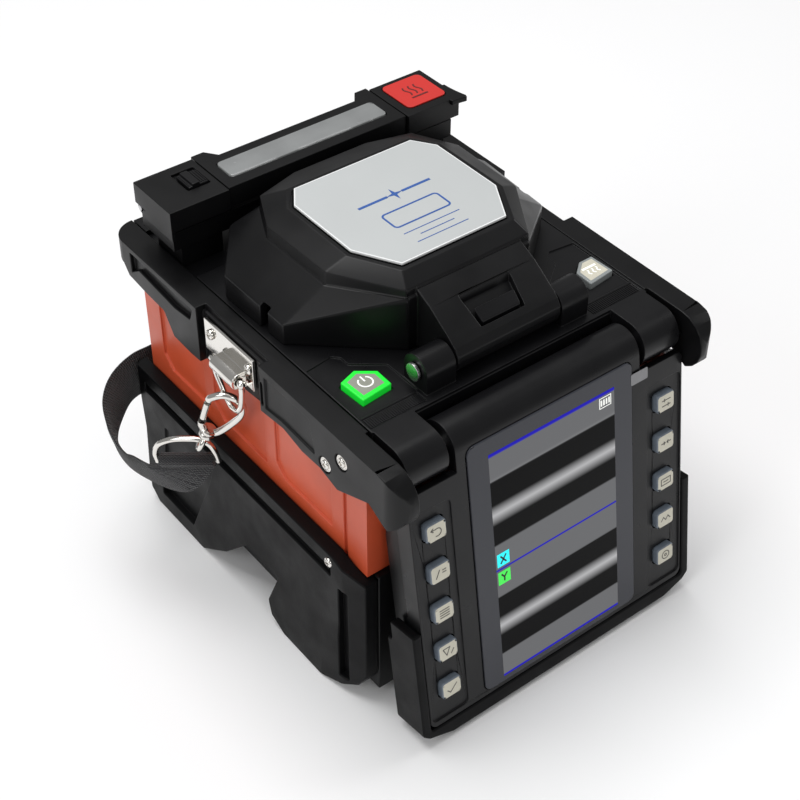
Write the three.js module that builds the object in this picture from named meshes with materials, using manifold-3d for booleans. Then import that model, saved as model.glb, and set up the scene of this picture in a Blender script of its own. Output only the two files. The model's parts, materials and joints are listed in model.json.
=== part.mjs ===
// Fiber fusion splicer: a carry-strapped bench unit with a tilting display, a wind hood over the
// splicing stage and a tube heater across the back.
// Millimetres, +Z up, front (display side) towards -Y, origin on the floor below the body's middle.

import * as THREE from 'three';
import { ConvexGeometry } from 'three/addons/geometries/ConvexGeometry.js';
import { mergeVertices } from 'three/addons/utils/BufferGeometryUtils.js';
import Module from 'manifold-3d';

const wasm = await Module();
wasm.setup();

// ---- driving dimensions -------------------------------------------------------------------

const GAP = 0.3;              // clearance kept between pieces that touch

// upper rim and deck
const RIM_X = 67.9;           // half width over the rim rails
const RIM_TOP = 119.8;        // top of rails and deck
const RIM_REAR = 88.4;        // rear of the rails
const RAIL_FRONT = -79.5;     // nose of the front corner caps
const RAIL_IN = 58.5;         // inner face of the rails
const DECK_T = 4;             // deck plate thickness
const DECK_FRONT = -53.3;     // deck edge above the display barrel

// orange core shell
const SHELL_X = 63.4;
const SHELL_FRONT = -57.2;
const SHELL_REAR = 76;
const SHELL_Z0 = 61.3;
const SHELL_WALL = 3;

// base
const BASE_X = 60.5;
const BASE_FRONT = -59.5;
const BASE_Z0 = 4;
const BUMPER_X = 69;          // outer face of the side bumpers
const FOOT_X = 71;            // feet flare out to this
const LEDGE_Z = 64.4;

// display unit, hung from a barrel hinge at the top front
const HINGE_Y = -62.5;
const HINGE_Z = 111.5;
const BARREL_R = 8.22;
const BARREL_X = 39.2;        // half length of the display barrel
const TILT = THREE.MathUtils.degToRad(8.88);
const SCREEN_X = 59;          // half width of the display housing
const SCREEN_TOP = 7.1;       // wing top below the hinge axis
const SCREEN_LOW = 105.9;     // housing bottom below the hinge axis
const KEY_ROWS = 5;
const KEY_PITCH = 16.85;
const KEY_FIRST = 23.45;      // centre of the top key row below the hinge axis
const KEY_X = 50;
const KEY_W = 8;
const KEY_H = 7.15;
const KEY_PROUD = 1.55;

// wind hood, hinged at its front
const HOOD_HINGE_Y = -44;
const HOOD_HINGE_Z = 126;
const HOOD_LUG_R = 6;
const ARM_X = 21.7;           // half width of the hinge arm
const PLATEAU_Z = 143.8;
const LABEL_Z = 148.5;

// tube heater
const HEAT_TOP = 143.6;
const HEAT_X = 62.3;
const HEAT_Y0 = 52;
const HEAT_Y1 = 78.5;
const HEAT_PIN_Y = 75.5;
const HEAT_PIN_Z = 133;

// ---- materials ----------------------------------------------------------------------------

function paint(color, roughness, metalness = 0) {
  return new THREE.MeshStandardMaterial({ color, roughness, metalness });
}

const black = paint(0x1d1d20, 0.55);
const satin = paint(0x2b2b2f, 0.42);
const orange = paint(0xd2502f, 0.45);
const rubber = paint(0x19191b, 0.8);
const silver = paint(0xc9cbcb, 0.4, 0.2);
const keycap = paint(0xc3c0b0, 0.5);
const powerKey = paint(0x6f7a68, 0.4);
const glass = paint(0x23252a, 0.08);
const screen = paint(0x8f9499, 0.2);
const windowGlass = paint(0x8b8f92, 0.2);
const red = paint(0xd8372c, 0.5);
const steel = paint(0xc6c8ca, 0.22, 1);
const aluminium = paint(0x9fa2a5, 0.35, 0.9);
const board = paint(0x1f5a38, 0.6);
const cell = paint(0x3a3c40, 0.6);
const webbing = paint(0x222225, 0.95);

// ---- solids -------------------------------------------------------------------------------

function solid(geometry) {
  const bare = geometry.index ? geometry.toNonIndexed() : geometry.clone();
  bare.deleteAttribute('normal');
  bare.deleteAttribute('uv');
  const merged = mergeVertices(bare, 1e-4);
  const vertProperties = new Float32Array(merged.attributes.position.array);
  const triVerts = new Uint32Array(merged.index.array);
  return new wasm.Manifold(new wasm.Mesh({ numProp: 3, vertProperties, triVerts }));
}

function geometryOf(manifold) {
  const mesh = manifold.getMesh();
  const geometry = new THREE.BufferGeometry();
  geometry.setAttribute('position', new THREE.BufferAttribute(new Float32Array(mesh.vertProperties), 3));
  geometry.setIndex(new THREE.BufferAttribute(new Uint32Array(mesh.triVerts), 1));
  geometry.computeVertexNormals();
  return geometry;
}

const join = (first, ...rest) => rest.reduce((sum, next) => sum.add(next), first);
const cut = (first, ...rest) => rest.reduce((left, next) => left.subtract(next), first);

function block(x0, x1, y0, y1, z0, z1) {
  const box = new THREE.BoxGeometry(x1 - x0, y1 - y0, z1 - z0);
  box.translate((x0 + x1) / 2, (y0 + y1) / 2, (z0 + z1) / 2);
  return solid(box);
}

// a closed outline without repeated points
function shapeOf(outline) {
  const points = outline instanceof THREE.Shape
    ? outline.getPoints(6)
    : outline.map(([a, b]) => new THREE.Vector2(a, b));
  const kept = points.filter((point, i) => point.distanceTo(points[(i + 1) % points.length]) > 0.002);
  return new THREE.Shape(kept);
}

// a prism whose outline lies in XY and runs from z0 to z1
function prismZ(outline, z0, z1) {
  const body = new THREE.ExtrudeGeometry(shapeOf(outline), { depth: z1 - z0, bevelEnabled: false });
  body.translate(0, 0, z0);
  return solid(body);
}

// a prism whose outline is given as [y, z] and runs from x0 to x1
function prismX(outline, x0, x1) {
  const body = new THREE.ExtrudeGeometry(shapeOf(outline), { depth: x1 - x0, bevelEnabled: false });
  const turn = new THREE.Matrix4().set(0, 0, 1, x0, 1, 0, 0, 0, 0, 1, 0, 0, 0, 0, 0, 1);
  body.applyMatrix4(turn);
  return solid(body);
}

// a prism whose outline is given as [x, z] and runs from y0 to y1
function prismY(outline, y0, y1) {
  const body = new THREE.ExtrudeGeometry(shapeOf(outline), { depth: y1 - y0, bevelEnabled: false });
  const turn = new THREE.Matrix4().set(1, 0, 0, 0, 0, 0, -1, y1, 0, 1, 0, 0, 0, 0, 0, 1);
  body.applyMatrix4(turn);
  return solid(body);
}

function rod(axis, from, to, a, b, radius, sides = 24) {
  const body = new THREE.CylinderGeometry(radius, radius, to - from, sides);
  const middle = (from + to) / 2;
  if (axis === 'x') {
    body.rotateZ(-Math.PI / 2);
    body.translate(middle, a, b);
  } else if (axis === 'y') {
    body.translate(a, middle, b);
  } else {
    body.rotateX(Math.PI / 2);
    body.translate(a, b, middle);
  }
  return solid(body);
}

const hull = (points) => solid(new ConvexGeometry(points.map((p) => new THREE.Vector3(...p))));

function roundedRect(x0, x1, y0, y1, r) {
  const shape = new THREE.Shape();
  shape.moveTo(x0 + r, y0);
  shape.lineTo(x1 - r, y0);
  shape.absarc(x1 - r, y0 + r, r, -Math.PI / 2, 0, false);
  shape.lineTo(x1, y1 - r);
  shape.absarc(x1 - r, y1 - r, r, 0, Math.PI / 2, false);
  shape.lineTo(x0 + r, y1);
  shape.absarc(x0 + r, y1 - r, r, Math.PI / 2, Math.PI, false);
  shape.lineTo(x0, y0 + r);
  shape.absarc(x0 + r, y0 + r, r, Math.PI, Math.PI * 1.5, false);
  return shape;
}

// a round wire along a smooth curve through the points
function wire(points, radius, steps, sides = 8) {
  const path = new THREE.CatmullRomCurve3(points.map((p) => new THREE.Vector3(...p)), false, 'centripetal');
  const ring = new THREE.Shape();
  for (let i = 0; i < sides; i += 1) {
    const angle = (i / sides) * Math.PI * 2;
    const x = radius * Math.cos(angle);
    const y = radius * Math.sin(angle);
    if (i === 0) ring.moveTo(x, y);
    else ring.lineTo(x, y);
  }
  ring.closePath();
  return solid(new THREE.ExtrudeGeometry(ring, { steps, extrudePath: path, bevelEnabled: false }));
}

const mirrorX = (manifold) => {
  const geometry = geometryOf(manifold);
  geometry.scale(-1, 1, 1);
  const index = geometry.index.array;
  for (let i = 0; i < index.length; i += 3) {
    const keep = index[i];
    index[i] = index[i + 1];
    index[i + 1] = keep;
  }
  return solid(geometry);
};

const splicer = new THREE.Group();

function place(name, body, material, parent = splicer) {
  const mesh = new THREE.Mesh(geometryOf(body), material);
  mesh.name = name;
  parent.add(mesh);
  return mesh;
}

// ---- side bumpers with feet ---------------------------------------------------------------

function bumper() {
  // side outline as [y, z]: ledge on top, two feet with a raised arch between them
  const outline = [
    [79.8, LEDGE_Z], [-45, LEDGE_Z], [-59.5, 60], [-59.5, 14], [-56, 7.5], [-49, 3], [-38, 0],
    [-16, 0], [-8.2, 4], [-6.6, 11], [-12, 25.8], [8, 25.8], [21.3, 12], [38, 0], [70, 0], [75.3, 4.5],
  ];
  let body = prismX(outline, BASE_X + GAP, FOOT_X);
  // plan outline: chamfered front corner
  const plan = [
    [BASE_X + GAP, -59.5], [66, -59.5], [BUMPER_X, -50.5], [FOOT_X, -40], [FOOT_X, 77], [67, 79.8],
    [BASE_X + GAP, 79.8],
  ];
  body = body.intersect(prismZ(plan, -1, 70));
  // the wall leans: straight down to mid height, then flaring out to the feet
  const lean = [
    [40, -1], [FOOT_X, -1], [FOOT_X, 10], [BUMPER_X, 34], [BUMPER_X, 70], [40, 70],
  ];
  body = body.intersect(prismY(lean, -70, 90));
  // lip groove below the ledge, slots in the front post, shell seat
  const groove = block(67.3, 72, -44, 74, 54.5, 58.5);
  const slot = block(66.8, 72, -52.4, -48.2, 7.5, 52);
  const seat = block(BASE_X, SHELL_X + GAP, SHELL_FRONT - 4, 90, 60.9, 70);
  const pocket = prismX([[44, 8], [66, 8], [62, 44], [30, 44]], 68.2, 72);
  return cut(body, groove, slot, seat, pocket);
}

const bumperRight = bumper();
place('bumper_right', bumperRight, rubber);
place('bumper_left', mirrorX(bumperRight), rubber);

// ---- base tray, battery bay ---------------------------------------------------------------

function baseTray() {
  let body = block(-BASE_X, BASE_X, BASE_FRONT, SHELL_REAR, BASE_Z0, SHELL_Z0 - GAP);
  const hollow = block(-BASE_X + 3, BASE_X - 3, BASE_FRONT + 3, SHELL_REAR - 3, BASE_Z0 + 3, 80);
  const bay = block(-42, 42, SHELL_REAR - 10, SHELL_REAR + 5, 9, 37);
  const latchSlot = block(45, 56.4, SHELL_REAR - 10, SHELL_REAR + 5, 17.3, 27.7);
  body = cut(body, hollow, bay, latchSlot);
  // rails that carry the battery
  for (const x of [-44, 42.2]) {
    body = join(body, block(x, x + 1.8, -30, SHELL_REAR - 2.9, 6.9, 16));
  }
  return body;
}
place('base_tray', baseTray(), black);

function batteryPack() {
  const cells = block(-41.4, 41.4, -28, SHELL_REAR + 0.5, 9.5, 36.5);
  const cap = prismY(roundedRect(-43.4, 43.4, 7, 38.6, 3), SHELL_REAR + GAP, SHELL_REAR + 4.5);
  const grip = block(-18, 18, SHELL_REAR + 2.5, SHELL_REAR + 6, 20, 27);
  return cut(join(cells, cap), grip);
}
place('battery_pack', batteryPack(), cell);

function batteryLatch() {
  const plate = block(45.3, 52.7, SHELL_REAR - 4.5, SHELL_REAR + 2.6, 18, 27);
  const rib = block(48, 50, SHELL_REAR + 2, SHELL_REAR + 4, 18, 27);
  const flange = block(44.6, 54.2, SHELL_REAR - 5, SHELL_REAR - 3.4, 16.6, 28.4);
  return join(plate, rib, flange);
}
place('battery_latch', batteryLatch(), satin);

// ---- orange core shell --------------------------------------------------------------------

function coreShell() {
  const top = RIM_TOP - DECK_T - GAP;
  let body = block(-SHELL_X, SHELL_X, SHELL_FRONT, SHELL_REAR, SHELL_Z0, top);
  const wide = SHELL_X - SHELL_WALL;
  const inside = block(-wide, wide, SHELL_FRONT + SHELL_WALL + 3.4, SHELL_REAR - SHELL_WALL, 0, 200);
  // the front wall steps back where the display barrel turns
  const barrelRoom = join(
    block(-SHELL_X + 2.6, SHELL_X - 2.6, SHELL_FRONT - 5, DECK_FRONT - 0.6, 91, 200),
    block(-SHELL_X + 2.6, SHELL_X - 2.6, SHELL_FRONT - 5, DECK_FRONT + 4, 104, 200),
  );
  const rearPort = block(-52.5, 52.5, SHELL_REAR - 10, SHELL_REAR + 5, 66, 104);
  body = cut(body, inside, barrelRoom, rearPort);
  // raised frame and recessed fields on each side, and the upright groove near the front
  for (const side of [-1, 1]) {
    const face = side * SHELL_X;
    const near = Math.min(face, face - side);
    const far = Math.max(face, face - side);
    const field = (y0, y1) => prismX([
      [y0, 70], [y1 - 5, 70], [y1, 75], [y1, 99], [y0 + 4, 99], [y0, 93],
    ], near, far);
    const grooveX0 = Math.min(face + side, face - side * 1.2);
    const grooveX1 = Math.max(face + side, face - side * 1.2);
    const groove = block(grooveX0, grooveX1, -46.4, -44.6, 60, 112);
    body = cut(body, field(-38, -6), field(0, 32), field(38, 66), groove);
  }
  return body;
}
place('core_shell', coreShell(), orange);

// ---- rear cover ---------------------------------------------------------------------------

function rearCover() {
  const face = SHELL_REAR + 2.5;
  const plate = prismY(roundedRect(-52, 52, 66.5, 103.5, 3), SHELL_REAR - 3, face);
  const power = block(-42, -30, face - 1.5, face + 1, 74, 83);
  const usb = block(-22, -13, face - 1.5, face + 1, 75, 80);
  const card = block(-8, 5, face - 1.5, face + 1, 75, 78);
  let body = cut(plate, power, usb, card);
  for (let i = 0; i < 7; i += 1) {
    const x = 16 + i * 4.6;
    body = cut(body, block(x, x + 2, face - 1.2, face + 1, 72, 98));
  }
  return body;
}
place('rear_cover', rearCover(), black);

// ---- rim rails ----------------------------------------------------------------------------

const CAP_SCREWS = [[-41.4, 102.9], [-50.2, 110.4]];      // as [y, z]

function sideRail() {
  // side outline as [y, z]; the nose is a rounded cap
  const nose = [];
  for (let i = 0; i <= 8; i += 1) {
    const angle = Math.PI / 2 + (i / 8) * Math.PI * 0.86;
    nose.push([-68.6 + 10.9 * Math.cos(angle), RIM_TOP - 10.9 + 10.9 * Math.sin(angle)]);
  }
  const outline = [
    [RIM_REAR, RIM_TOP], ...nose,
    [-64.2, 103.9], [-47.7, 96.8], [-38.5, 99.4], [-28.8, 99.2], [-18.5, 101.6],
    [22, 97], [37, 96], [48.5, 96.5], [54, 104.4], [65, 104.9], [77, 106.1], [80, 109.8], [RIM_REAR, 110.5],
  ];
  let body = prismX(outline, RAIL_IN, RIM_X);
  const plan = new THREE.Shape();
  plan.moveTo(RAIL_IN, RIM_REAR);
  plan.lineTo(RAIL_IN, -52);
  plan.lineTo(59.7, -52);
  plan.lineTo(59.7, RAIL_FRONT);
  plan.absarc(RIM_X - 8, RAIL_FRONT + 8, 8, -Math.PI / 2, 0, false);
  plan.lineTo(RIM_X, RIM_REAR - 9);
  plan.absarc(RIM_X - 9, RIM_REAR - 9, 9, 0, Math.PI / 2, false);
  body = body.intersect(prismZ(plan, 80, 130));
  // room below the top flange for the core shell
  const room = block(RAIL_IN - 1, SHELL_X + GAP, SHELL_FRONT - GAP, SHELL_REAR + GAP, 80, RIM_TOP - DECK_T);
  // the strap bay: the rail steps in and its top drops between the two end pieces
  const bay = join(block(65.2, 80, -5.5, 31.5, 90, 130), block(63.9, 80, -5.5, 31.5, 117.6, 130));
  // window in the outer side of the rear piece
  const window = prismX([
    [36, 112], [46, 110.8], [69, 112.8], [74.6, 109], [74.6, 117.4], [34, 117.4],
  ], 66.3, 80);
  // pockets for the cap's two screws
  const screwPockets = CAP_SCREWS.map(([y, z]) => rod('x', 66.4, 80, y, z, 3.1, 20));
  return cut(body, room, bay, window, ...screwPockets);
}
const railRight = sideRail();
place('side_rail_right', railRight, black);
place('side_rail_left', mirrorX(railRight), black);

// ---- top deck -----------------------------------------------------------------------------

const POWER_OUTLINE = [[-53, -29.9], [-46, -27.6], [-40, -32.2], [-40.2, -39.9], [-52.3, -41.1]];
const HEAT_OUTLINE = [[55.6, -28.6], [49.8, -28.6], [44.9, -32.6], [44.6, -40.3], [56, -39]];

function grown(outline, amount) {
  const cx = outline.reduce((sum, p) => sum + p[0], 0) / outline.length;
  const cy = outline.reduce((sum, p) => sum + p[1], 0) / outline.length;
  return outline.map(([x, y]) => {
    const dx = x - cx;
    const dy = y - cy;
    const length = Math.hypot(dx, dy);
    return [cx + (dx * (length + amount)) / length, cy + (dy * (length + amount)) / length];
  });
}

function topDeck() {
  const edge = RAIL_IN - GAP;
  const low = RIM_TOP - DECK_T;
  let body = block(-edge, edge, DECK_FRONT, 46, low, RIM_TOP);
  // sunken floor under the heater, and the rear crossbar
  const floor = block(-edge, edge, 45, RIM_REAR - 2, low, low + 1.8);
  const crossbar = block(-edge, edge, SHELL_REAR + 3.2, RIM_REAR - 0.6, 105, RIM_TOP);
  const lip = block(-57.8, 57.8, DECK_FRONT - 0.4, DECK_FRONT + 2, 104.4, RIM_TOP - 1);
  body = join(body, floor, crossbar, lip);
  for (const side of [-1, 1]) {
    const x0 = side > 0 ? 41.6 : -57.6;
    const x1 = x0 + 16;
    // display hinge lug, bullnosed about the hinge axis
    const lug = join(
      rod('x', x0, x1, HINGE_Y, HINGE_Z, 8.3, 32),
      block(x0, x1, HINGE_Y, DECK_FRONT - 0.9, 109, RIM_TOP),
      block(x0, x1, HINGE_Y, DECK_FRONT + 1, low, RIM_TOP),
    );
    const bore = rod('x', x0 - 1, x1 + 1, HINGE_Y, HINGE_Z, 2.8, 16);
    body = cut(join(body, lug), bore);
    // hood hinge lug
    const h0 = side > 0 ? ARM_X + 0.6 : -34;
    const h1 = side > 0 ? 34 : -ARM_X - 0.6;
    const post = block(h0, h1, HOOD_HINGE_Y - HOOD_LUG_R, HOOD_HINGE_Y + HOOD_LUG_R, low, HOOD_HINGE_Z);
    const head = rod('x', h0, h1, HOOD_HINGE_Y, HOOD_HINGE_Z, HOOD_LUG_R, 28);
    body = cut(join(body, post, head), rod('x', h0 - 1, h1 + 1, HOOD_HINGE_Y, HOOD_HINGE_Z, 2.3, 16));
  }
  // splicing well, key holes, cable slot
  const well = [[-31, -22], [31, -22], [44, -9], [44, 38], [-44, 38], [-44, -9]];
  body = cut(body, prismZ(well, low - 1, RIM_TOP + 1));
  body = cut(body, prismZ(grown(POWER_OUTLINE, 0.5), low - 1, RIM_TOP + 1));
  body = cut(body, prismZ(grown(HEAT_OUTLINE, 0.5), low - 1, RIM_TOP + 1));
  return body;
}
place('top_deck', topDeck(), satin);
place('power_key', prismZ(POWER_OUTLINE, RIM_TOP - 3.4, RIM_TOP + 1.5), powerKey);
place('heat_key', prismZ(HEAT_OUTLINE, RIM_TOP - 3.4, RIM_TOP + 1.5), keycap);

// ---- electronics and splicing stage -------------------------------------------------------

function mainBoard() {
  const plate = block(-56, 56, -46, 66, 66, 67.6);
  const chips = [
    block(-12, 12, -10, 14, 67, 70.5), block(-44, -30, -30, -12, 67, 70), block(22, 40, -34, -20, 67, 71),
    block(24, 46, 34, 56, 67, 76),
  ];
  // high-voltage transformer for the arc
  const transformer = [block(-46, -18, 26, 58, 67, 90), block(-40, -24, 34, 50, 89, 96)];
  return join(plate, ...chips, ...transformer);
}
place('main_board', mainBoard(), board);

const FIBER_Y = 8;
const FIBER_Z = 129;
const CLAMP_PIN_Y = 18;
const CLAMP_PIN_Z = 128;

function spliceStage() {
  const flange = block(-48, 48, -26, 42, 109, RIM_TOP - DECK_T - GAP);
  const plinth = block(-31, 31, -14, 30, 112, 121.5);
  const vee = prismX([
    [0, 121], [16, 121], [16, 129.2], [9.6, 129.2], [8, 127.6], [6.4, 129.2], [0, 129.2],
  ], -14, 14);
  const arcGap = block(-3.5, 3.5, -2, 18, 122.5, 140);
  const lensWindow = block(-6, 6, 2, 14, 100, 123);
  const posts = join(block(-5, 5, -11, -4.5, 121, 126.2), block(-5, 5, 20.5, 27, 121, 126.2));
  let body = cut(join(flange, plinth, vee, posts), arcGap, lensWindow);
  for (const side of [-1, 1]) {
    const x0 = side > 0 ? 17 : -29;
    body = join(body, block(x0, x0 + 12, 1, 15, 121, 128.2), block(x0, x0 + 12, 16, 21, 121, 125.7));
  }
  return body;
}
place('splice_stage', spliceStage(), aluminium);

function electrode(direction) {
  const base = FIBER_Y + direction * 19;
  const tip = FIBER_Y + direction * 2.2;
  const reach = (length) => [base, base - direction * length].sort((a, b) => a - b);
  const shaft = rod('y', ...reach(13), 0, FIBER_Z - 0.5, 1.3, 12);
  const cone = new THREE.CylinderGeometry(0.25, 1.3, 4, 12);
  if (direction > 0) cone.rotateX(Math.PI);
  cone.translate(0, (tip + base - direction * 12.9) / 2, FIBER_Z - 0.5);
  const collar = rod('y', ...reach(3), 0, FIBER_Z - 0.5, 2, 12);
  return join(shaft, collar, solid(cone));
}
place('electrode_front', electrode(-1), steel);
place('electrode_rear', electrode(1), steel);

function lens(side) {
  const tube = new THREE.CylinderGeometry(5, 6.5, 24, 20);
  tube.rotateX(Math.PI / 2);
  tube.translate(0, 0, -12);
  tube.rotateY(side * 0.62);
  tube.translate(side * -5.2, FIBER_Y, 106);
  return solid(tube);
}
place('lens_left', lens(1), black);
place('lens_right', lens(-1), black);

function fiberClamp(side) {
  const x0 = side > 0 ? 17.4 : -28.6;
  const lid = block(x0, x0 + 11.2, 2, 17, 128.6, 131);
  const pad = block(x0 + 3, x0 + 8.2, 0.4, 3, 128.6, 131);
  const ear = rod('x', x0 + 1, x0 + 10.2, CLAMP_PIN_Y, CLAMP_PIN_Z, 1.8, 14);
  return join(lid, pad, ear);
}
place('fiber_clamp_left', fiberClamp(-1), satin);
place('fiber_clamp_right', fiberClamp(1), satin);

// ---- wind hood ----------------------------------------------------------------------------

// outline rings of the cover, right half only, each as [x, y, z]
const mirrored = (points) => points.flatMap(([x, y, z]) => [[x, y, z], [-x, y, z]]);

function hoodForm(inset) {
  const k = inset;
  const low = RIM_TOP + GAP;
  const plateau = (z, grow) => [
    [25.5 + grow * 0.5, -28.3 - grow, z], [40.2 + grow, -4.8 - grow * 0.5, z], [40.8 + grow, 27, z],
    [32.5 + grow * 0.6, 43.4 + grow * 0.6, z], [15, 48 + grow * 0.5, z],
  ];
  const crown = [
    [23.2 - k * 0.4, -23.2 + k, LABEL_Z - 0.9 - k], [32.6 - k, -6.2 + k * 0.4, LABEL_Z - 0.9 - k],
    [32.5 - k, 26.8, LABEL_Z - 0.9 - k], [26.3 - k, 36.2 - k, LABEL_Z - 0.9 - k],
  ];
  const upper = hull(mirrored([...crown, ...plateau(PLATEAU_Z - k * 0.5, -k), ...plateau(138.6, -k)]));
  const skirt = [
    [25, -29.2], [41.2, -15.2], [43.6, -12.7], [55.6, -2.4], [56.6, 30], [43, 47], [15, 49.4],
  ];
  const crease = [141, 133, 130.4, 128, 129.2, 134, 135];
  const inX = [0.4, 0.6, 0.6, 1, 1, 0.8, 0.3];
  const inY = [1, 0.8, 0.8, 0.6, -0.1, -0.8, -1];
  const ring = (z) => skirt.map(([x, y], i) => [x - k * inX[i], y + k * inY[i], z(i)]);
  const lower = hull(mirrored([
    ...plateau(139, 0.6 - k), ...ring((i) => crease[i] - k), ...ring(() => low - k),
  ]));
  return upper.add(lower);
}

function windHood() {
  let body = cut(hoodForm(0), hoodForm(2.6));
  body = cut(body, block(-80, 80, -80, 80, 100, RIM_TOP + GAP));
  // hinge arm: a ramp from the plateau down to a rounded front, with a knuckle on the pin
  const ramp = [
    [-24, 143.4], [-28.5, 143], [-35.7, 139.8], [-45.5, 133.4], [-48.2, 131.2], [-49.8, 128.6], [-50, 126],
    [-49.2, 123], [-47, 120.9], [-44, 120.4], [-27, 120.4],
  ];
  let arm = prismX(ramp, -ARM_X, ARM_X);
  const under = prismX([
    [-26.3, 100], [-26.3, 140], [-30, 138.8], [-36, 136], [-37.5, 132], [-37.5, 100],
  ], -ARM_X + 3, ARM_X - 3);
  arm = cut(arm, under, hoodForm(2.6));
  body = join(body, arm);
  // tapered recess in the arm that takes the grip bar and gives a finger room behind it
  const recess = hull(mirrored([
    [11.1, -34.6, 145], [9.4, -46.6, 138], [10.2, -36.6, 136.2], [8.8, -45.6, 129.9],
  ]));
  const pin = rod('x', -ARM_X - 1, ARM_X + 1, HOOD_HINGE_Y, HOOD_HINGE_Z, 2.3, 16);
  const labelSeat = prismZ(LABEL_OUTLINE(0.35), LABEL_Z - 0.9 - 0.35, LABEL_Z + 2);
  // notches where a fiber passes under each side
  const fiberSlot = block(-70, 70, FIBER_Y - 2, FIBER_Y + 2, 100, RIM_TOP + 9.6);
  return cut(body, recess, pin, labelSeat, fiberSlot);
}

function LABEL_OUTLINE(grow) {
  const g = grow;
  const half = [
    [21.6 + g * 0.6, -21 - g], [30.4 + g, -5.5 - g * 0.5],
    [30.3 + g, 26 + g * 0.4], [24.7 + g * 0.4, 34.1 + g],
  ];
  return [...half, ...half.slice().reverse().map(([x, y]) => [-x, y])];
}
place('wind_hood', windHood(), black);
place('hood_label', prismZ(LABEL_OUTLINE(0), LABEL_Z - 0.9, LABEL_Z), silver);

function gripBar() {
  return hull(mirrored([
    [8.4, -41, 136.9], [8, -45.2, 133.7], [8.2, -41.6, 133.1], [7.9, -44.9, 130.8],
  ]));
}
place('hood_grip_bar', gripBar(), satin);

function hoodPin() {
  const shank = rod('x', -34.6, 34.6, HOOD_HINGE_Y, HOOD_HINGE_Z, 2, 16);
  const head = rod('x', -35.4, -34.3, HOOD_HINGE_Y, HOOD_HINGE_Z, 3.2, 20);
  return join(shank, head);
}
place('hood_hinge_pin', hoodPin(), steel);

// ---- tube heater --------------------------------------------------------------------------

const HEAT_SPLIT = 38.6;      // where the end clamps begin

function heaterBase() {
  const floor = RIM_TOP - DECK_T + 1.8 + GAP;
  let body = block(-60.8, 60.8, 55, 72, 126, 133.2);
  for (const side of [-1, 1]) {
    const x0 = side > 0 ? 41 : -57.8;
    body = join(body, block(x0, x0 + 16.8, 55.5, 71.5, floor, 127));
    const ear = side > 0 ? 59.3 : -60.8;
    body = join(body, block(ear, ear + 1.5, 60, HEAT_PIN_Y, 126, HEAT_PIN_Z));
    body = join(body, rod('x', ear, ear + 1.5, HEAT_PIN_Y, HEAT_PIN_Z, 2.2, 14));
  }
  body = join(body, block(-4, 4, 71, HEAT_PIN_Y, 129, HEAT_PIN_Z));
  body = join(body, rod('x', -4, 4, HEAT_PIN_Y, HEAT_PIN_Z, 2.2, 14));
  body = cut(body, rod('x', -70, 70, HEAT_PIN_Y, HEAT_PIN_Z, 1.35, 12));
  return cut(body, block(-37, 37, 58, 69, 129, 140), block(-70, 70, 62.6, 64.4, 131.4, 140));
}
place('heater_base', heaterBase(), black);

const trough = cut(block(-36.6, 36.6, 58.4, 68.6, 129.3, 133.2), block(-40, 40, 61, 66, 130.6, 140));
place('heater_trough', trough, aluminium);
place('heater_pin', rod('x', -61.3, 61.3, HEAT_PIN_Y, HEAT_PIN_Z, 1.1, 10), steel);

function heaterKnuckle(x0, x1) {
  const leaf = block(x0, x1, 72.4, HEAT_PIN_Y, HEAT_PIN_Z - 1, HEAT_PIN_Z + 4);
  return join(rod('x', x0, x1, HEAT_PIN_Y, HEAT_PIN_Z, 2.2, 14), leaf);
}

const pinBore = () => rod('x', -70, 70, HEAT_PIN_Y, HEAT_PIN_Z, 1.4, 12);

function heaterLid() {
  const plate = prismZ([
    [-38.2, 53.6], [38.2, 53.6], [38.2, 78], [33, 78], [29.5, 73.3], [-29.5, 73.3], [-33, 78], [-38.2, 78],
  ], 135.4, HEAT_TOP);
  const hollow = block(-35, 35, 56.2, 71, 130, 141.4);
  const windowSeat = prismZ(roundedRect(-34, 34, 58.4, 69.2, 2), 139.6, HEAT_TOP + 1);
  const windowHole = block(-32.6, 32.6, 59.6, 68, 139, HEAT_TOP + 1);
  let body = cut(plate, hollow, windowSeat, windowHole);
  for (const x of [-36.6, 29.6]) {
    body = join(body, block(x, x + 7, 72.4, 77.8, 133.2, 137));
    body = join(body, rod('x', x, x + 7, HEAT_PIN_Y, HEAT_PIN_Z, 2.3, 14));
  }
  return cut(body, pinBore());
}
place('heater_lid', heaterLid(), black);
const pane = prismZ(roundedRect(-33.7, 33.7, 58.7, 68.9, 1.8), 141.7, HEAT_TOP + 0.4);
place('heater_window', pane, windowGlass);

function heaterClamp(side) {
  const x0 = side > 0 ? HEAT_SPLIT : -HEAT_X;
  const x1 = side > 0 ? HEAT_X : -HEAT_SPLIT;
  let body = block(x0, x1, HEAT_Y0 + 0.6, HEAT_Y1 - 2, 135.4, HEAT_TOP);
  if (side > 0) {
    // rear edge and a finger tab that flares out at the front corner
    const tab = new THREE.Shape();
    tab.moveTo(58, 51.4);
    tab.quadraticCurveTo(61, 51.2, 64.4, 50.6);
    tab.lineTo(64.9, 51.9);
    tab.quadraticCurveTo(63.4, 57, 63.2, 62.6);
    tab.lineTo(58, 62.6);
    body = join(body, prismZ(tab, HEAT_TOP - 2, HEAT_TOP));
  } else {
    // deeper outer wall
    body = join(body, block(x0, x0 + 1.1, HEAT_Y0 + 0.6, 70, 132, 136));
  }
  const k0 = side > 0 ? 42 : -57;
  const hollow = block(x0 + 3, x1 - 3, HEAT_Y0 + 3.4, 70, 134, HEAT_TOP - 2.2);
  body = cut(body, hollow);
  body = join(body, heaterKnuckle(k0, k0 + 15));
  return cut(body, pinBore());
}

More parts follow.
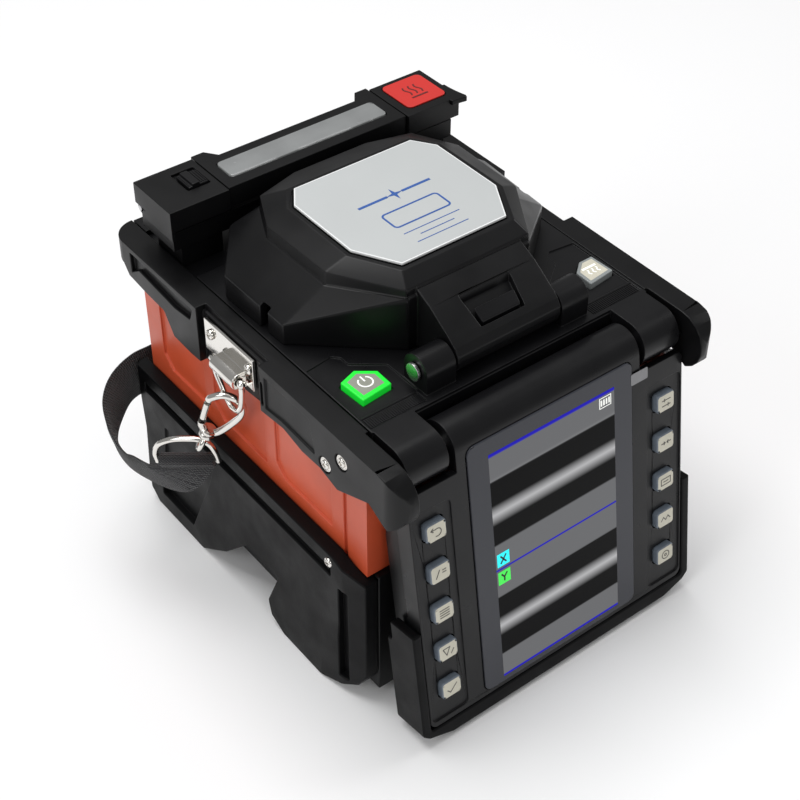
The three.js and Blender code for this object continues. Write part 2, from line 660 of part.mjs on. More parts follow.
const badgeSeat = prismZ(roundedRect(41.9, 60.1, 56.4, 74.6, 2.4), HEAT_TOP - 0.6, HEAT_TOP + 2);
const badge = prismZ(roundedRect(42.2, 59.8, 56.7, 74.3, 2.2), HEAT_TOP - 0.3, HEAT_TOP + 0.3);
const sliderSlot = block(-50, -41, 60.6, 72.2, HEAT_TOP - 1.2, HEAT_TOP + 2);
const sliderPlate = block(-49.4, -41.6, 61, 69.5, HEAT_TOP - 0.9, HEAT_TOP + 0.7);
const sliderRidge = block(-48, -45, 61, 69.5, HEAT_TOP, HEAT_TOP + 1.6);
place('heater_clamp_right', cut(heaterClamp(1), badgeSeat), black);
place('heater_clamp_left', cut(heaterClamp(-1), sliderSlot), black);
place('heater_badge', badge, red);
place('clamp_slider', join(sliderPlate, sliderRidge), satin);

// ---- display unit -------------------------------------------------------------------------
// Built upright about the hinge axis: -Y faces out, -Z runs down the panel.

const display = new THREE.Group();
display.position.set(0, HINGE_Y, HINGE_Z);
display.rotation.x = -TILT;
splicer.add(display);

const keyRowZ = (row) => -(KEY_FIRST + row * KEY_PITCH);

function displayFront() {
  const wings = prismY(roundedRect(-SCREEN_X, SCREEN_X, -SCREEN_LOW, -SCREEN_TOP, 3), -BARREL_R, -1);
  const stem = block(-BARREL_X, BARREL_X, -BARREL_R, -1, -30, 0);
  const barrel = rod('x', -BARREL_X, BARREL_X, 0, 0, BARREL_R, 40);
  let body = join(wings, stem, barrel);
  // clearance round the deck's lugs
  const scoopLeft = rod('x', -70, -BARREL_X - 0.02, 0, 0, 9.1, 32);
  const scoopRight = rod('x', BARREL_X + 0.02, 70, 0, 0, 9.1, 32);
  body = cut(body, scoopLeft, scoopRight, rod('x', -60, 60, 0, 0, 2.8, 16));
  // glass seat and the display cavity behind it
  body = cut(body, prismY(roundedRect(-35.45, 35.45, -104.1, 0.2, 3.4), -BARREL_R - 2, -BARREL_R + 0.75));
  body = cut(body, block(-29.6, 29.6, -9, -3.4, -102.6, -8.2), block(-27.6, 27.6, -9, 5, -100, -11));
  for (let row = 0; row < KEY_ROWS; row += 1) {
    for (const side of [-1, 1]) {
      const x = side * KEY_X;
      const z = keyRowZ(row);
      const w = KEY_W / 2 + 0.4;
      const h = KEY_H / 2 + 0.4;
      const hole = roundedRect(x - w, x + w, z - h, z + h, 1.6);
      body = cut(body, prismY(hole, -BARREL_R - 1, 0));
    }
  }
  return body;
}
place('display_front', displayFront(), satin, display);

function displayBack() {
  const shell = block(-SCREEN_X + 0.6, SCREEN_X - 0.6, -0.7, 7.2, -SCREEN_LOW + 0.4, -13.5);
  const hollow = block(-56, 56, -2, 5.2, -SCREEN_LOW + 3, -16.5);
  const corner = prismX([[7.3, -12], [7.3, -30], [3.5, -12]], -70, 70);
  return cut(shell, hollow, corner);
}
place('display_back', displayBack(), black, display);
const cover = prismY(roundedRect(-35.15, 35.15, -103.8, -0.14, 3.1), -BARREL_R - 0.5, -BARREL_R + 0.45);
place('display_glass', cover, glass, display);
place('display_panel', join(
  block(-29.3, 29.3, -7.4, -3.7, -102.3, -8.5), block(-27, 27, -4, -1.6, -99.6, -11.4)), screen, display);
place('display_shaft', rod('x', -54, 54, 0, 0, 2.5, 16), steel, display);

function displayGuard() {
  // U-shaped guard round the lower half; its underside is level with the floor
  const lift = Math.tan(TILT);
  const deep = 112.6;
  const outer = prismX([
    [-BARREL_R - 0.4, -61.9], [6.6, -61.9], [6.6, -deep + lift * 14], [-BARREL_R - 0.4, -deep],
  ], -62.8, 62.8);
  const plan = prismY([
    [-62.8, -61], [-62.8, -107], [-60, -109.4], [-45, -114],
    [45, -114], [60, -109.4], [62.8, -107], [62.8, -61],
  ], -20, 20);
  const inner = block(-SCREEN_X - GAP, SCREEN_X + GAP, -20, 20, -SCREEN_LOW - GAP, -50);
  const ends = block(-70, 70, 4, 20, -70, -50);
  return cut(outer.intersect(plan), inner, ends);
}
place('display_guard', displayGuard(), rubber, display);

for (let row = 0; row < KEY_ROWS; row += 1) {
  for (const side of [-1, 1]) {
    const x = side * KEY_X;
    const z = keyRowZ(row);
    const cap = roundedRect(x - KEY_W / 2, x + KEY_W / 2, z - KEY_H / 2, z + KEY_H / 2, 1.3);
    const name = `key_${side < 0 ? 'left' : 'right'}_${row + 1}`;
    place(name, prismY(cap, -BARREL_R - KEY_PROUD, -2.8), keycap, display);
  }
}

// ---- carry strap and its fittings ---------------------------------------------------------

const BRACKET_Y = 11.3;       // middle of the strap bracket along the body
const RING_X = 69.4;          // the bracket's rolled barrel
const RING_Z = 106.5;

function strapBracket() {
  const plate = block(65.5, 66.7, BRACKET_Y - 11.5, BRACKET_Y + 17.5, 104, 117);
  const roll = rod('y', BRACKET_Y - 6.8, BRACKET_Y + 6.8, RING_X, RING_Z, 3, 20);
  const web = block(65.5, RING_X, BRACKET_Y - 6.8, BRACKET_Y + 6.8, RING_Z + 1.4, RING_Z + 3);
  const bore = rod('y', BRACKET_Y - 8, BRACKET_Y + 8, RING_X, RING_Z, 1.5, 12);
  return cut(join(plate, roll, web), bore);
}

function strapRing() {
  const y0 = BRACKET_Y - 8.3;
  const y1 = BRACKET_Y + 8.3;
  const loop = wire([
    [RING_X, y0, RING_Z], [RING_X, y0 + 0.2, RING_Z - 5], [RING_X, y0 + 1.2, RING_Z - 10.4],
    [RING_X, y0 + 3.4, RING_Z - 13.9], [RING_X, y0 + 6.6, RING_Z - 14.8],
    [RING_X, y0 + 9.2, RING_Z - 13.7], [RING_X, y0 + 12.4, RING_Z - 9.8],
    [RING_X, y1 - 0.5, RING_Z - 4.8], [RING_X, y1, RING_Z],
  ], 1.1, 22);
  return join(loop, rod('y', y0 - 1.1, y1 + 1.1, RING_X, RING_Z, 1.1, 12));
}

// The snap hook hangs from the ring and leans out. In its own frame Z runs up the hook and X
// across it; the origin is at its swivel collar.
const hookFrame = new THREE.Matrix4();
{
  const foot = new THREE.Vector3(75, 20, 74.8);
  const head = new THREE.Vector3(69.2, 10.2, 96.4);
  const up = head.clone().sub(foot).normalize();
  const across = new THREE.Vector3(-0.66, -0.61, -0.44);
  across.addScaledVector(up, -across.dot(up)).normalize();
  const out = new THREE.Vector3().crossVectors(up, across);
  hookFrame.makeBasis(across, out, up);
  hookFrame.setPosition(foot);
}

function inHook(points) {
  return points.map(([x, z]) => new THREE.Vector3(x, 0, z).applyMatrix4(hookFrame).toArray());
}

function snapHook() {
  const arm = wire(inHook([
    [1.2, 2], [3.4, 4.8], [5.4, 11], [6.5, 17], [5.3, 21.4],
    [1.6, 23.8], [-2.6, 23], [-5.4, 19.6], [-5.8, 17.8],
  ]), 1.45, 20);
  const stub = wire(inHook([[-1, 2], [-3.2, 4.4], [-3.8, 6.2]]), 1.45, 5);
  const collar = new THREE.CylinderGeometry(2.7, 2.7, 4.6, 14);
  collar.rotateX(Math.PI / 2);
  collar.translate(0, 0, 1.7);
  const eye = new THREE.TorusGeometry(3.5, 1, 8, 20);
  eye.rotateY(Math.PI / 2);
  eye.translate(0, 0, -3.2);
  collar.applyMatrix4(hookFrame);
  eye.applyMatrix4(hookFrame);
  return join(arm, stub, solid(collar), solid(eye));
}

function hookGate() {
  return wire(inHook([[-4.15, 8.1], [-4.9, 12], [-5.6, 16]]), 1.2, 4);
}

// The buckle ring lies through the hook's eye; its straight bar carries the webbing.
const BUCKLE_BAR = new THREE.Vector3(79.3, 27.1, 60);
const BUCKLE_ALONG = new THREE.Vector3(-0.664, -0.73, 0.164);
const BUCKLE_UP = new THREE.Vector3(0.183, 0.055, 0.981);

function buckleRing() {
  const at = ([u, v]) => BUCKLE_BAR.clone()
    .addScaledVector(BUCKLE_ALONG, u).addScaledVector(BUCKLE_UP, v).toArray();
  const bar = wire([[-11.3, 0], [0, 0], [11.3, 0]].map(at), 1.1, 2);
  const bow = wire([
    [-11.3, -0.6], [-11, 4], [-8.5, 8.2], [-3, 10.6], [3, 11],
    [7.5, 10.4], [10.2, 8], [11.2, 4], [11.3, -0.6],
  ].map(at), 1.1, 20);
  return join(bar, bow);
}

const bracketRight = strapBracket();
const ringRight = strapRing();
const hookRight = snapHook();
const gateRight = hookGate();
const buckleRight = buckleRing();
for (const [side, turned] of [['right', (body) => body], ['left', mirrorX]]) {
  place(`strap_bracket_${side}`, turned(bracketRight), steel);
  place(`strap_ring_${side}`, turned(ringRight), steel);
  place(`snap_hook_${side}`, turned(hookRight), steel);
  place(`hook_gate_${side}`, turned(gateRight), steel);
  place(`buckle_ring_${side}`, turned(buckleRight), steel);
}

// The webbing runs from one buckle ring round the back to the other, twisting a quarter turn on
// each side. Each stop is the middle of the band on the right half with the direction across it.
const STRAP_W = 20.5;
const STRAP_T = 1.6;
const STRAP_STOPS = [
  [[79.6, 26.9, 57.6], [0.664, 0.73, -0.164]],
  [[81.6, 29.5, 54], [0.62, 0.7, 0.05]],
  [[84.1, 36, 47.5], [0.5, 0.45, 0.6]],
  [[87, 44, 46], [0.42, 0.1, 0.88]],
  [[90.1, 52, 46.8], [0.3, -0.4, 0.85]],
  [[90, 60, 48.3], [0.3, -0.65, 0.7]],
  [[88, 66, 51.7], [0.42, -0.5, 0.72]],
  [[83.7, 71, 57.2], [0.55, -0.3, 0.76]],
  [[76.7, 77, 58.1], [0.42, -0.12, 0.86]],
  [[66.5, 82.8, 55.9], [0.2, 0, 0.97]],
  [[55.2, 86.7, 52.9], [0.05, 0, 1]],
  [[40, 90, 54], [0, 0, 1]],
  [[20, 91.6, 55.4], [0, 0, 1]],
  [[0, 92, 56], [0, 0, 1]],
];

function strapWebbing() {
  const back = STRAP_STOPS.slice(0, -1).reverse().map(([p, w]) => [
    [-p[0], p[1], p[2]], [-w[0], w[1], w[2]],
  ]);
  const stops = [...STRAP_STOPS, ...back];
  const path = new THREE.CatmullRomCurve3(stops.map(([p]) => new THREE.Vector3(...p)), false, 'catmullrom', 0.5);
  const across = stops.map(([, w]) => new THREE.Vector3(...w).normalize());
  const perStop = 3;
  const corners = [];
  const count = (stops.length - 1) * perStop;
  for (let i = 0; i <= count; i += 1) {
    const k = Math.min(Math.floor(i / perStop), stops.length - 2);
    const mix = i / perStop - k;
    const t = i / count;
    const at = path.getPoint(t);
    const wide = across[k].clone().lerp(across[k + 1], mix).normalize();
    const thick = path.getTangent(t).cross(wide).normalize();
    const corner = (a, b) => at.clone()
      .addScaledVector(wide, (a * STRAP_W) / 2)
      .addScaledVector(thick, (b * STRAP_T) / 2);
    corners.push(corner(-1, -1), corner(1, -1), corner(1, 1), corner(-1, 1));
  }
  const index = [];
  for (let i = 0; i < count; i += 1) {
    for (let j = 0; j < 4; j += 1) {
      const a = i * 4 + j;
      const b = i * 4 + ((j + 1) % 4);
      index.push(a, b, b + 4, a, b + 4, a + 4);
    }
  }
  const last = count * 4;
  index.push(0, 3, 2, 0, 2, 1, last, last + 1, last + 2, last, last + 2, last + 3);
  const band = new THREE.BufferGeometry();
  band.setAttribute('position', new THREE.Float32BufferAttribute(corners.flatMap((c) => c.toArray()), 3));
  band.setIndex(index);
  return solid(band);
}
place('strap_webbing', strapWebbing(), webbing);

export default splicer;
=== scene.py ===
"""Fiber fusion splicer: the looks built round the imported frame."""
import json
import math

import bmesh
import bpy
from mathutils import Matrix, Vector

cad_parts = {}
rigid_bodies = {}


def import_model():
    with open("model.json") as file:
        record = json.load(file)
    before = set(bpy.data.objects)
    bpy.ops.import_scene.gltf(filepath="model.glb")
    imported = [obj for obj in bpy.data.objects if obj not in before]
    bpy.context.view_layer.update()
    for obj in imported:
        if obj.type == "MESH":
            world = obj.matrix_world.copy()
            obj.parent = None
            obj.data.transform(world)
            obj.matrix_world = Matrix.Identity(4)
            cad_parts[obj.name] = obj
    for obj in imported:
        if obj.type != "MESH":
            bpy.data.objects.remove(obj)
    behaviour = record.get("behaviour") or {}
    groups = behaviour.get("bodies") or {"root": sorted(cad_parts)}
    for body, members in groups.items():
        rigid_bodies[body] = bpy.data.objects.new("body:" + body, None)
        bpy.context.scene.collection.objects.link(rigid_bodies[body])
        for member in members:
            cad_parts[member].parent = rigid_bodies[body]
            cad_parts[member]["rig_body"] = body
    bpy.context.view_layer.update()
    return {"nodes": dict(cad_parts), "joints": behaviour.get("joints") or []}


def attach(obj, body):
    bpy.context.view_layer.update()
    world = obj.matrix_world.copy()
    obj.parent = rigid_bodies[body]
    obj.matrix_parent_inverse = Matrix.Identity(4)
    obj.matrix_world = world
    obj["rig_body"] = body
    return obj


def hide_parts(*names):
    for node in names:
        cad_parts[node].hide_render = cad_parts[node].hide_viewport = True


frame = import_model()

MM = 0.001
SIDES = (("right", 1), ("left", -1))


# ---- camera ---------------------------------------------------------------------------------

CAMERA_AZIMUTH = math.radians(-38.066)
CAMERA_ELEVATION = math.radians(41.511)
CAMERA_ROLL = math.radians(0.416)
CAMERA_AT = (-0.2742467, -0.3429993, 0.4531372)
CAMERA_SENSOR = 36
CAMERA_LENS = 72.5317
CAMERA_NEAR = 0.01


def make_camera():
    azimuth, elevation, roll = CAMERA_AZIMUTH, CAMERA_ELEVATION, CAMERA_ROLL
    back = Vector((math.sin(azimuth) * math.cos(elevation), -math.cos(azimuth) * math.cos(elevation),
                   math.sin(elevation)))
    level = Vector((math.cos(azimuth), math.sin(azimuth), 0))
    rise = back.cross(level)
    right = math.cos(roll) * level + math.sin(roll) * rise
    up = math.cos(roll) * rise - math.sin(roll) * level
    camera = bpy.data.objects.new("camera", bpy.data.cameras.new("camera"))
    camera.data.sensor_width = CAMERA_SENSOR
    camera.data.lens = CAMERA_LENS
    camera.data.clip_start = CAMERA_NEAR
    turn = Matrix((right, up, back)).transposed().to_4x4()
    camera.matrix_world = Matrix.Translation(CAMERA_AT) @ turn
    bpy.context.scene.collection.objects.link(camera)
    bpy.context.scene.camera = camera


# ---- meshes, all in millimetres until a piece is finished ------------------------------------

CORNER_STEPS = 5              # facets of a round corner in an outline
ON_AXIS = 1e-6                # a lathe radius that counts as none
MITRE_LIMIT = 0.5             # keeps the outer corner of a sharp turn short
WELD = 0.02                   # corners nearer than this are one
FLAT = math.radians(1.5)      # faces turned by less than this are one
SHARP = 33                    # degrees between two faces that make an edge


def bm_of(verts, faces):
    bm = bmesh.new()
    made = [bm.verts.new(v) for v in verts]
    for face in faces:
        bm.faces.new([made[i] for i in face])
    return bm


def joined(*parts):
    whole = bmesh.new()
    for part in parts:
        mesh = bpy.data.meshes.new("part")
        part.to_mesh(mesh)
        part.free()
        whole.from_mesh(mesh)
        bpy.data.meshes.remove(mesh)
    return whole


def prism(outline, low, high, axis="z"):
    """An outline given in the two other axes, in their order, drawn out along one axis."""
    place = {"x": lambda a, b, t: (t, a, b),
             "y": lambda a, b, t: (a, t, b),
             "z": lambda a, b, t: (a, b, t)}[axis]
    n = len(outline)
    verts = [place(a, b, t) for t in (low, high) for a, b in outline]
    sides = [(i, (i + 1) % n, (i + 1) % n + n, i + n) for i in range(n)]
    bm = bm_of(verts, [tuple(range(n))[::-1], tuple(range(n, 2 * n)), *sides])
    bmesh.ops.recalc_face_normals(bm, faces=bm.faces)
    return bm


def box(x0, x1, y0, y1, z0, z1):
    return prism([(x0, y0), (x1, y0), (x1, y1), (x0, y1)], z0, z1)


def arc(cx, cy, r, start, end, steps=14):
    points = []
    for i in range(steps + 1):
        angle = math.radians(start + (end - start) * i / steps)
        points.append((cx + r * math.cos(angle), cy + r * math.sin(angle)))
    return points


def rounded(x0, x1, y0, y1, r):
    """The outline of a rectangle with round corners."""
    points = []
    for cx, cy, start in ((x1 - r, y0 + r, -90), (x1 - r, y1 - r, 0),
                          (x0 + r, y1 - r, 90), (x0 + r, y0 + r, 180)):
        points += arc(cx, cy, r, start, start + 90, CORNER_STEPS)
    return points


def lathe(profile, steps):
    """A profile of (radius, height) pairs that starts and ends on the Z axis, spun about it."""
    verts, rings = [], []
    for radius, height in profile:
        if radius < ON_AXIS:
            rings.append([len(verts)])
            verts.append((0, 0, height))
        else:
            rings.append(list(range(len(verts), len(verts) + steps)))
            for i in range(steps):
                angle = 2 * math.pi * i / steps
                verts.append((radius * math.cos(angle), radius * math.sin(angle), height))
    faces = []
    for low, high in zip(rings, rings[1:]):
        for i in range(steps):
            j = (i + 1) % steps
            ring = [low[i % len(low)], low[j % len(low)], high[j % len(high)], high[i % len(high)]]
            faces.append(tuple(dict.fromkeys(ring)))
    bm = bm_of(verts, faces)
    bmesh.ops.recalc_face_normals(bm, faces=bm.faces)
    return bm


def skinned(verts, count):
    """A closed skin over equal rings of points, with a flat cap at both ends."""
    last = len(verts) - count
    faces = []
    for start in range(0, last, count):
        for i in range(count):
            a, b = start + i, start + (i + 1) % count
            faces.append((a, b, b + count, a + count))
    faces += [tuple(range(count))[::-1], tuple(range(last, last + count))]
    return bm_of(verts, faces)


def tangent_at(line, k):
    return (line[min(k + 1, len(line) - 1)] - line[max(k - 1, 0)]).normalized()


def smooth_line(points, per_span):
    """A Catmull-Rom curve through the points."""
    p = [Vector(q) for q in points]
    p = [2 * p[0] - p[1], *p, 2 * p[-1] - p[-2]]
    line = []
    for k in range(1, len(p) - 2):
        for i in range(per_span):
            t = i / per_span
            line.append(0.5 * (2 * p[k] + (p[k + 1] - p[k - 1]) * t
                               + (2 * p[k - 1] - 5 * p[k] + 4 * p[k + 1] - p[k + 2]) * t * t
                               + (3 * p[k] - p[k - 1] - 3 * p[k + 1] + p[k + 2]) * t ** 3))
    return [*line, p[-2]]


def tube(points, radius, sides, per_span):
    """A round wire with flat ends along a smooth curve."""
    line = smooth_line(points, per_span)
    verts = []
    normal = (line[1] - line[0]).normalized().orthogonal().normalized()
    for k, at in enumerate(line):
        tangent = tangent_at(line, k)
        normal = (normal - normal.dot(tangent) * tangent).normalized()
        other = tangent.cross(normal)
        for i in range(sides):
            angle = 2 * math.pi * i / sides
            verts.append(at + radius * (math.cos(angle) * normal + math.sin(angle) * other))
    bm = skinned(verts, sides)
    bmesh.ops.recalc_face_normals(bm, faces=bm.faces)
    return bm


def ribbon(points, width, low, high, axis="z"):
    """A flat stroke of even width along a line drawn in the two other axes."""
    p = [Vector(q) for q in points]
    left, right = [], []
    for i, at in enumerate(p):
        a = (at - p[i - 1]).normalized() if i else (p[1] - at).normalized()
        b = (p[i + 1] - at).normalized() if i < len(p) - 1 else a
        side = Vector((-(a + b).y, (a + b).x)).normalized()
        reach = width / 2 / max(MITRE_LIMIT, side.dot(Vector((-a.y, a.x))))
        left.append(tuple(at + side * reach))
        right.append(tuple(at - side * reach))
    return prism(left + right[::-1], low, high, axis)


def aimed(at, direction, spin=0.0):
    """The placing that turns +Z to a direction at a point."""
    turn = Vector(direction).to_track_quat("Z", "Y").to_matrix().to_4x4()
    return Matrix.Translation(at) @ turn @ Matrix.Rotation(spin, 4, "Z")


def moved(bm, matrix):
    bmesh.ops.transform(bm, matrix=matrix, verts=bm.verts)
    if matrix.determinant() < 0:
        bmesh.ops.reverse_faces(bm, faces=bm.faces)
    return bm


def linked(name, bm):
    mesh = bpy.data.meshes.new(name)
    bm.to_mesh(mesh)
    bm.free()
    obj = bpy.data.objects.new(name, mesh)
    bpy.context.scene.collection.objects.link(obj)
    return obj


def applied(obj):
    graph = bpy.context.evaluated_depsgraph_get()
    mesh = bpy.data.meshes.new_from_object(
        obj.evaluated_get(graph), preserve_all_data_layers=True, depsgraph=graph)
    obj.modifiers.clear()
    obj.data = mesh
    return obj


def carved(bm, *cutters):
    """The solid with the cutters taken away."""
    body = linked("body", bm)
    tools = [linked("cutter", cutter) for cutter in cutters]
    for tool in tools:
        cut = body.modifiers.new("cut", "BOOLEAN")
        cut.object = tool
        cut.operation = "DIFFERENCE"
        cut.solver = "EXACT"
    applied(body)
    result = bmesh.new()
    result.from_mesh(body.data)
    for obj in (body, *tools):
        bpy.data.objects.remove(obj)
    return result


def cleaned(bm):
    """Joins what is flat into whole faces, then splits those that a bevel would handle badly."""
    bmesh.ops.remove_doubles(bm, verts=bm.verts, dist=WELD)
    bmesh.ops.dissolve_degenerate(bm, edges=bm.edges, dist=WELD)
    bmesh.ops.dissolve_limit(bm, angle_limit=FLAT, verts=bm.verts, edges=bm.edges)
    many = [face for face in bm.faces if len(face.verts) > 4]
    bmesh.ops.triangulate(bm, faces=many)
    return bm


def cad(node):
    """A CAD node's solid as a millimetre mesh."""
    mesh = frame["nodes"][node].data
    bm = bm_of([v.co / MM for v in mesh.vertices], [p.vertices for p in mesh.polygons])
    return cleaned(bm)


def piece(name, bm, body, material, replaces=(), bevel=0.0, segments=2, limit=SHARP):
    """Finishes a millimetre mesh: rounds its edges, gives it its material and hangs it on a body."""
    obj = linked(name, bm)
    for polygon in obj.data.polygons:
        polygon.use_smooth = True
    if bevel:
        rounding = obj.modifiers.new("round", "BEVEL")
        rounding.width = bevel
        rounding.segments = segments
        rounding.limit_method = "ANGLE"
        rounding.angle_limit = math.radians(limit)
        rounding.use_clamp_overlap = False
        rounding.miter_outer = "MITER_ARC"
        obj.modifiers.new("shade", "WEIGHTED_NORMAL")
        applied(obj)
    else:
        obj.data.set_sharp_from_angle(angle=math.radians(limit))
    obj.data.transform(Matrix.Scale(MM, 4))
    obj.data.materials.append(material)
    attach(obj, body)
    if replaces:
        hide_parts(*replaces)
    return obj


def refined(node, material, bevel, segments, cuts=(), limit=SHARP):
    """A CAD node's own shape with rounded edges and surface details cut in."""
    bm = cad(node)
    if cuts:
        bm = carved(bm, *cuts)
    body = frame["nodes"][node]["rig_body"]
    return piece(f"{node}.form", cleaned(bm), body, material, [node], bevel, segments, limit)


# ---- materials ------------------------------------------------------------------------------

class Surface:
    """A principled material whose maps are worked out from object coordinates."""

    def __init__(self, name, colour, roughness, **uniform):
        self.material = bpy.data.materials.new(name)
        self.material.use_nodes = True
        self.tree = self.material.node_tree
        self.shader = self.tree.nodes["Principled BSDF"]
        self.colour = (*colour, 1)
        self.roughness = roughness
        self.shader.inputs["Base Color"].default_value = self.colour
        self.shader.inputs["Roughness"].default_value = roughness
        for key, value in uniform.items():
            self.shader.inputs[key.replace("_", " ")].default_value = value
        self.height = None
        self.where = self.node("ShaderNodeTexCoord").outputs["Object"]

    def node(self, kind, **settings):
        made = self.tree.nodes.new(kind)
        for key, value in settings.items():
            setattr(made, key, value)
        return made

    def link(self, source, target):
        self.tree.links.new(source, target)

    def noise(self, scale, detail=2.0, stretch=None):
        texture = self.node("ShaderNodeTexNoise")
        texture.inputs["Scale"].default_value = scale
        texture.inputs["Detail"].default_value = detail
        where = self.where
        if stretch:
            mapping = self.node("ShaderNodeMapping")
            mapping.inputs["Scale"].default_value = stretch
            self.link(self.where, mapping.inputs["Vector"])
            where = mapping.outputs["Vector"]
        self.link(where, texture.inputs["Vector"])
        return texture.outputs["Fac"]

    def ranged(self, value, low, high, from_low=0.3, from_high=0.7):
        scaled = self.node("ShaderNodeMapRange")
        scaled.inputs["From Min"].default_value = from_low
        scaled.inputs["From Max"].default_value = from_high
        scaled.inputs["To Min"].default_value = low
        scaled.inputs["To Max"].default_value = high
        self.link(value, scaled.inputs["Value"])
        return scaled.outputs["Result"]

    def tint(self, scale=35, amount=0.12):
        """Slow drift of the colour, lighter and darker by an amount."""
        mix = self.node("ShaderNodeMix", data_type="RGBA")
        dark = [c * (1 - amount) for c in self.colour[:3]]
        light = [min(1, c * (1 + amount)) for c in self.colour[:3]]
        mix.inputs["A"].default_value = (*dark, 1)
        mix.inputs["B"].default_value = (*light, 1)
        self.link(self.ranged(self.noise(scale, 4), 0, 1), mix.inputs["Factor"])
        self.link(mix.outputs["Result"], self.shader.inputs["Base Color"])
        return self

    def polish(self, scale=60, amount=0.06):
        """Slow drift of the roughness, as handling leaves."""
        low, high = self.roughness - amount, self.roughness + amount
        self.link(self.ranged(self.noise(scale, 3), low, high), self.shader.inputs["Roughness"])
        return self

    def bump(self, value, strength, distance):
        bump = self.node("ShaderNodeBump")
        bump.inputs["Strength"].default_value = strength
        bump.inputs["Distance"].default_value = distance
        self.link(value, bump.inputs["Height"])
        if self.height:
            self.link(self.height, bump.inputs["Normal"])
        self.height = bump.outputs["Normal"]
        self.link(self.height, self.shader.inputs["Normal"])
        return self

    def grain(self, scale=2600, strength=0.25, distance=0.00006):
        return self.bump(self.noise(scale), strength, distance)


def finish(name, colour, roughness, tint=(), polish=None, grain=None, **uniform):
    """A material with drifting colour and, where they are given, drifting roughness and a grain."""
    surface = Surface(name, colour, roughness, **uniform).tint(*tint)
    if polish is not None:
        surface.polish(*polish)
    if grain is not None:
        surface.grain(*grain)
    return surface.material


def moulded(name, colour, roughness, grain=0.22, **uniform):
    return Surface(name, colour, roughness, **uniform).tint().polish().grain(strength=grain).material


def brushed(name, colour, roughness, stretch):
    surface = Surface(name, colour, roughness, Metallic=1.0)
    lines = surface.noise(400, 3, stretch)
    surface.link(surface.ranged(lines, roughness - 0.07, roughness + 0.1),
                 surface.shader.inputs["Roughness"])
    return surface.bump(lines, 0.08, 0.00003).material


WARP_PITCH = 1.3              # millimetres between warp threads, across the band
WEAVE_PITCH = 0.95            # and between ribs, along it


def woven():
    surface = Surface("webbing_weave", (0.012, 0.012, 0.0135), 0.85,
                      Sheen_Weight=0.25, Sheen_Roughness=0.4)
    uv = surface.node("ShaderNodeUVMap", uv_map="band").outputs["UV"]
    split = surface.node("ShaderNodeSeparateXYZ")
    surface.link(uv, split.inputs["Vector"])

    def wave(value, frequency, shift=None):
        total = surface.node("ShaderNodeMath", operation="MULTIPLY")
        surface.link(value, total.inputs[0])
        total.inputs[1].default_value = frequency
        phase = total.outputs[0]
        if shift is not None:
            added = surface.node("ShaderNodeMath", operation="ADD")
            surface.link(phase, added.inputs[0])
            surface.link(shift, added.inputs[1])
            phase = added.outputs[0]
        sine = surface.node("ShaderNodeMath", operation="SINE")
        surface.link(phase, sine.inputs[0])
        return sine.outputs[0]

    # ribs across the band, each rib twisted by the warp threads that pass over it
    warp = wave(split.outputs["X"], 2 * math.pi / WARP_PITCH)
    weft = wave(split.outputs["Y"], 2 * math.pi / WEAVE_PITCH, warp)
    product = surface.node("ShaderNodeMath", operation="MULTIPLY")
    surface.link(warp, product.inputs[0])
    surface.link(weft, product.inputs[1])
    surface.bump(product.outputs[0], 0.9, 0.00022)
    surface.grain(3500, 0.4, 0.00008)
    # the colour follows the weave's height: painted shade, darker in the hollows between ribs, and a
    # painted sheen, lighter on the rib tops
    mix = surface.node("ShaderNodeMix", data_type="RGBA")
    mix.inputs["A"].default_value = (0.006, 0.006, 0.007, 1)
    mix.inputs["B"].default_value = (0.024, 0.024, 0.027, 1)
    surface.link(surface.ranged(product.outputs[0], 0, 1, -1, 1), mix.inputs["Factor"])
    surface.link(mix.outputs["Result"], surface.shader.inputs["Base Color"])
    return surface.material


def glowing(name, colour, strength):
    surface = Surface(name, colour, 0.35, Emission_Strength=strength)
    surface.shader.inputs["Emission Color"].default_value = (*colour, 1)
    return surface.tint(500, 0.04).material


BLACK = moulded("black_plastic", (0.0036, 0.0036, 0.0040), 0.38, Specular_IOR_Level=0.22)
SATIN = moulded("satin_black", (0.0050, 0.0050, 0.0057), 0.32, 0.16, Specular_IOR_Level=0.26)
HOOD = moulded("hood_black", (0.0045, 0.0045, 0.0050), 0.34, 0.2, Specular_IOR_Level=0.26)
ORANGE = moulded("orange_shell", (0.60, 0.085, 0.030), 0.38, 0.2)
RUBBER = finish("black_rubber", (0.0034, 0.0034, 0.0038), 0.45, polish=(80, 0.08),
                grain=(1800, 0.35, 0.0001), Specular_IOR_Level=0.10)
LABEL = finish("label_silver", (0.56, 0.58, 0.58), 0.42, (20, 0.03), grain=(4000, 0.1, 0.00003),
               Metallic=0.25)
LABEL_EDGE = finish("label_edge", (0.85, 0.86, 0.86), 0.35, (60, 0.03))
LABEL_BLUE = finish("label_blue", (0.028, 0.10, 0.36), 0.4, (90, 0.06))
BEIGE = finish("key_beige", (0.66, 0.63, 0.52), 0.42, (120, 0.05), (), (3000, 0.12))
KEY_SIDE = finish("key_side", (0.16, 0.19, 0.23), 0.4, (120, 0.06), grain=(3000, 0.12))
KEY_MARK = finish("key_mark", (0.10, 0.095, 0.085), 0.6, (200, 0.1))
BEZEL = finish("bezel_glass", (0.046, 0.048, 0.058), 0.16, (15, 0.04), (25, 0.02),
               Specular_IOR_Level=0.2, Coat_Weight=0.15, Coat_Roughness=0.04)
FILM = finish("film_tab", (0.22, 0.22, 0.23), 0.35, (300, 0.06), Coat_Weight=0.3)
WINDOW = finish("heater_window", (0.30, 0.31, 0.31), 0.2, (60, 0.12), (90, 0.08),
                Coat_Weight=0.5, Alpha=0.72)
RED = finish("red_badge", (0.60, 0.026, 0.020), 0.4, (40, 0.04), grain=(3500, 0.08))
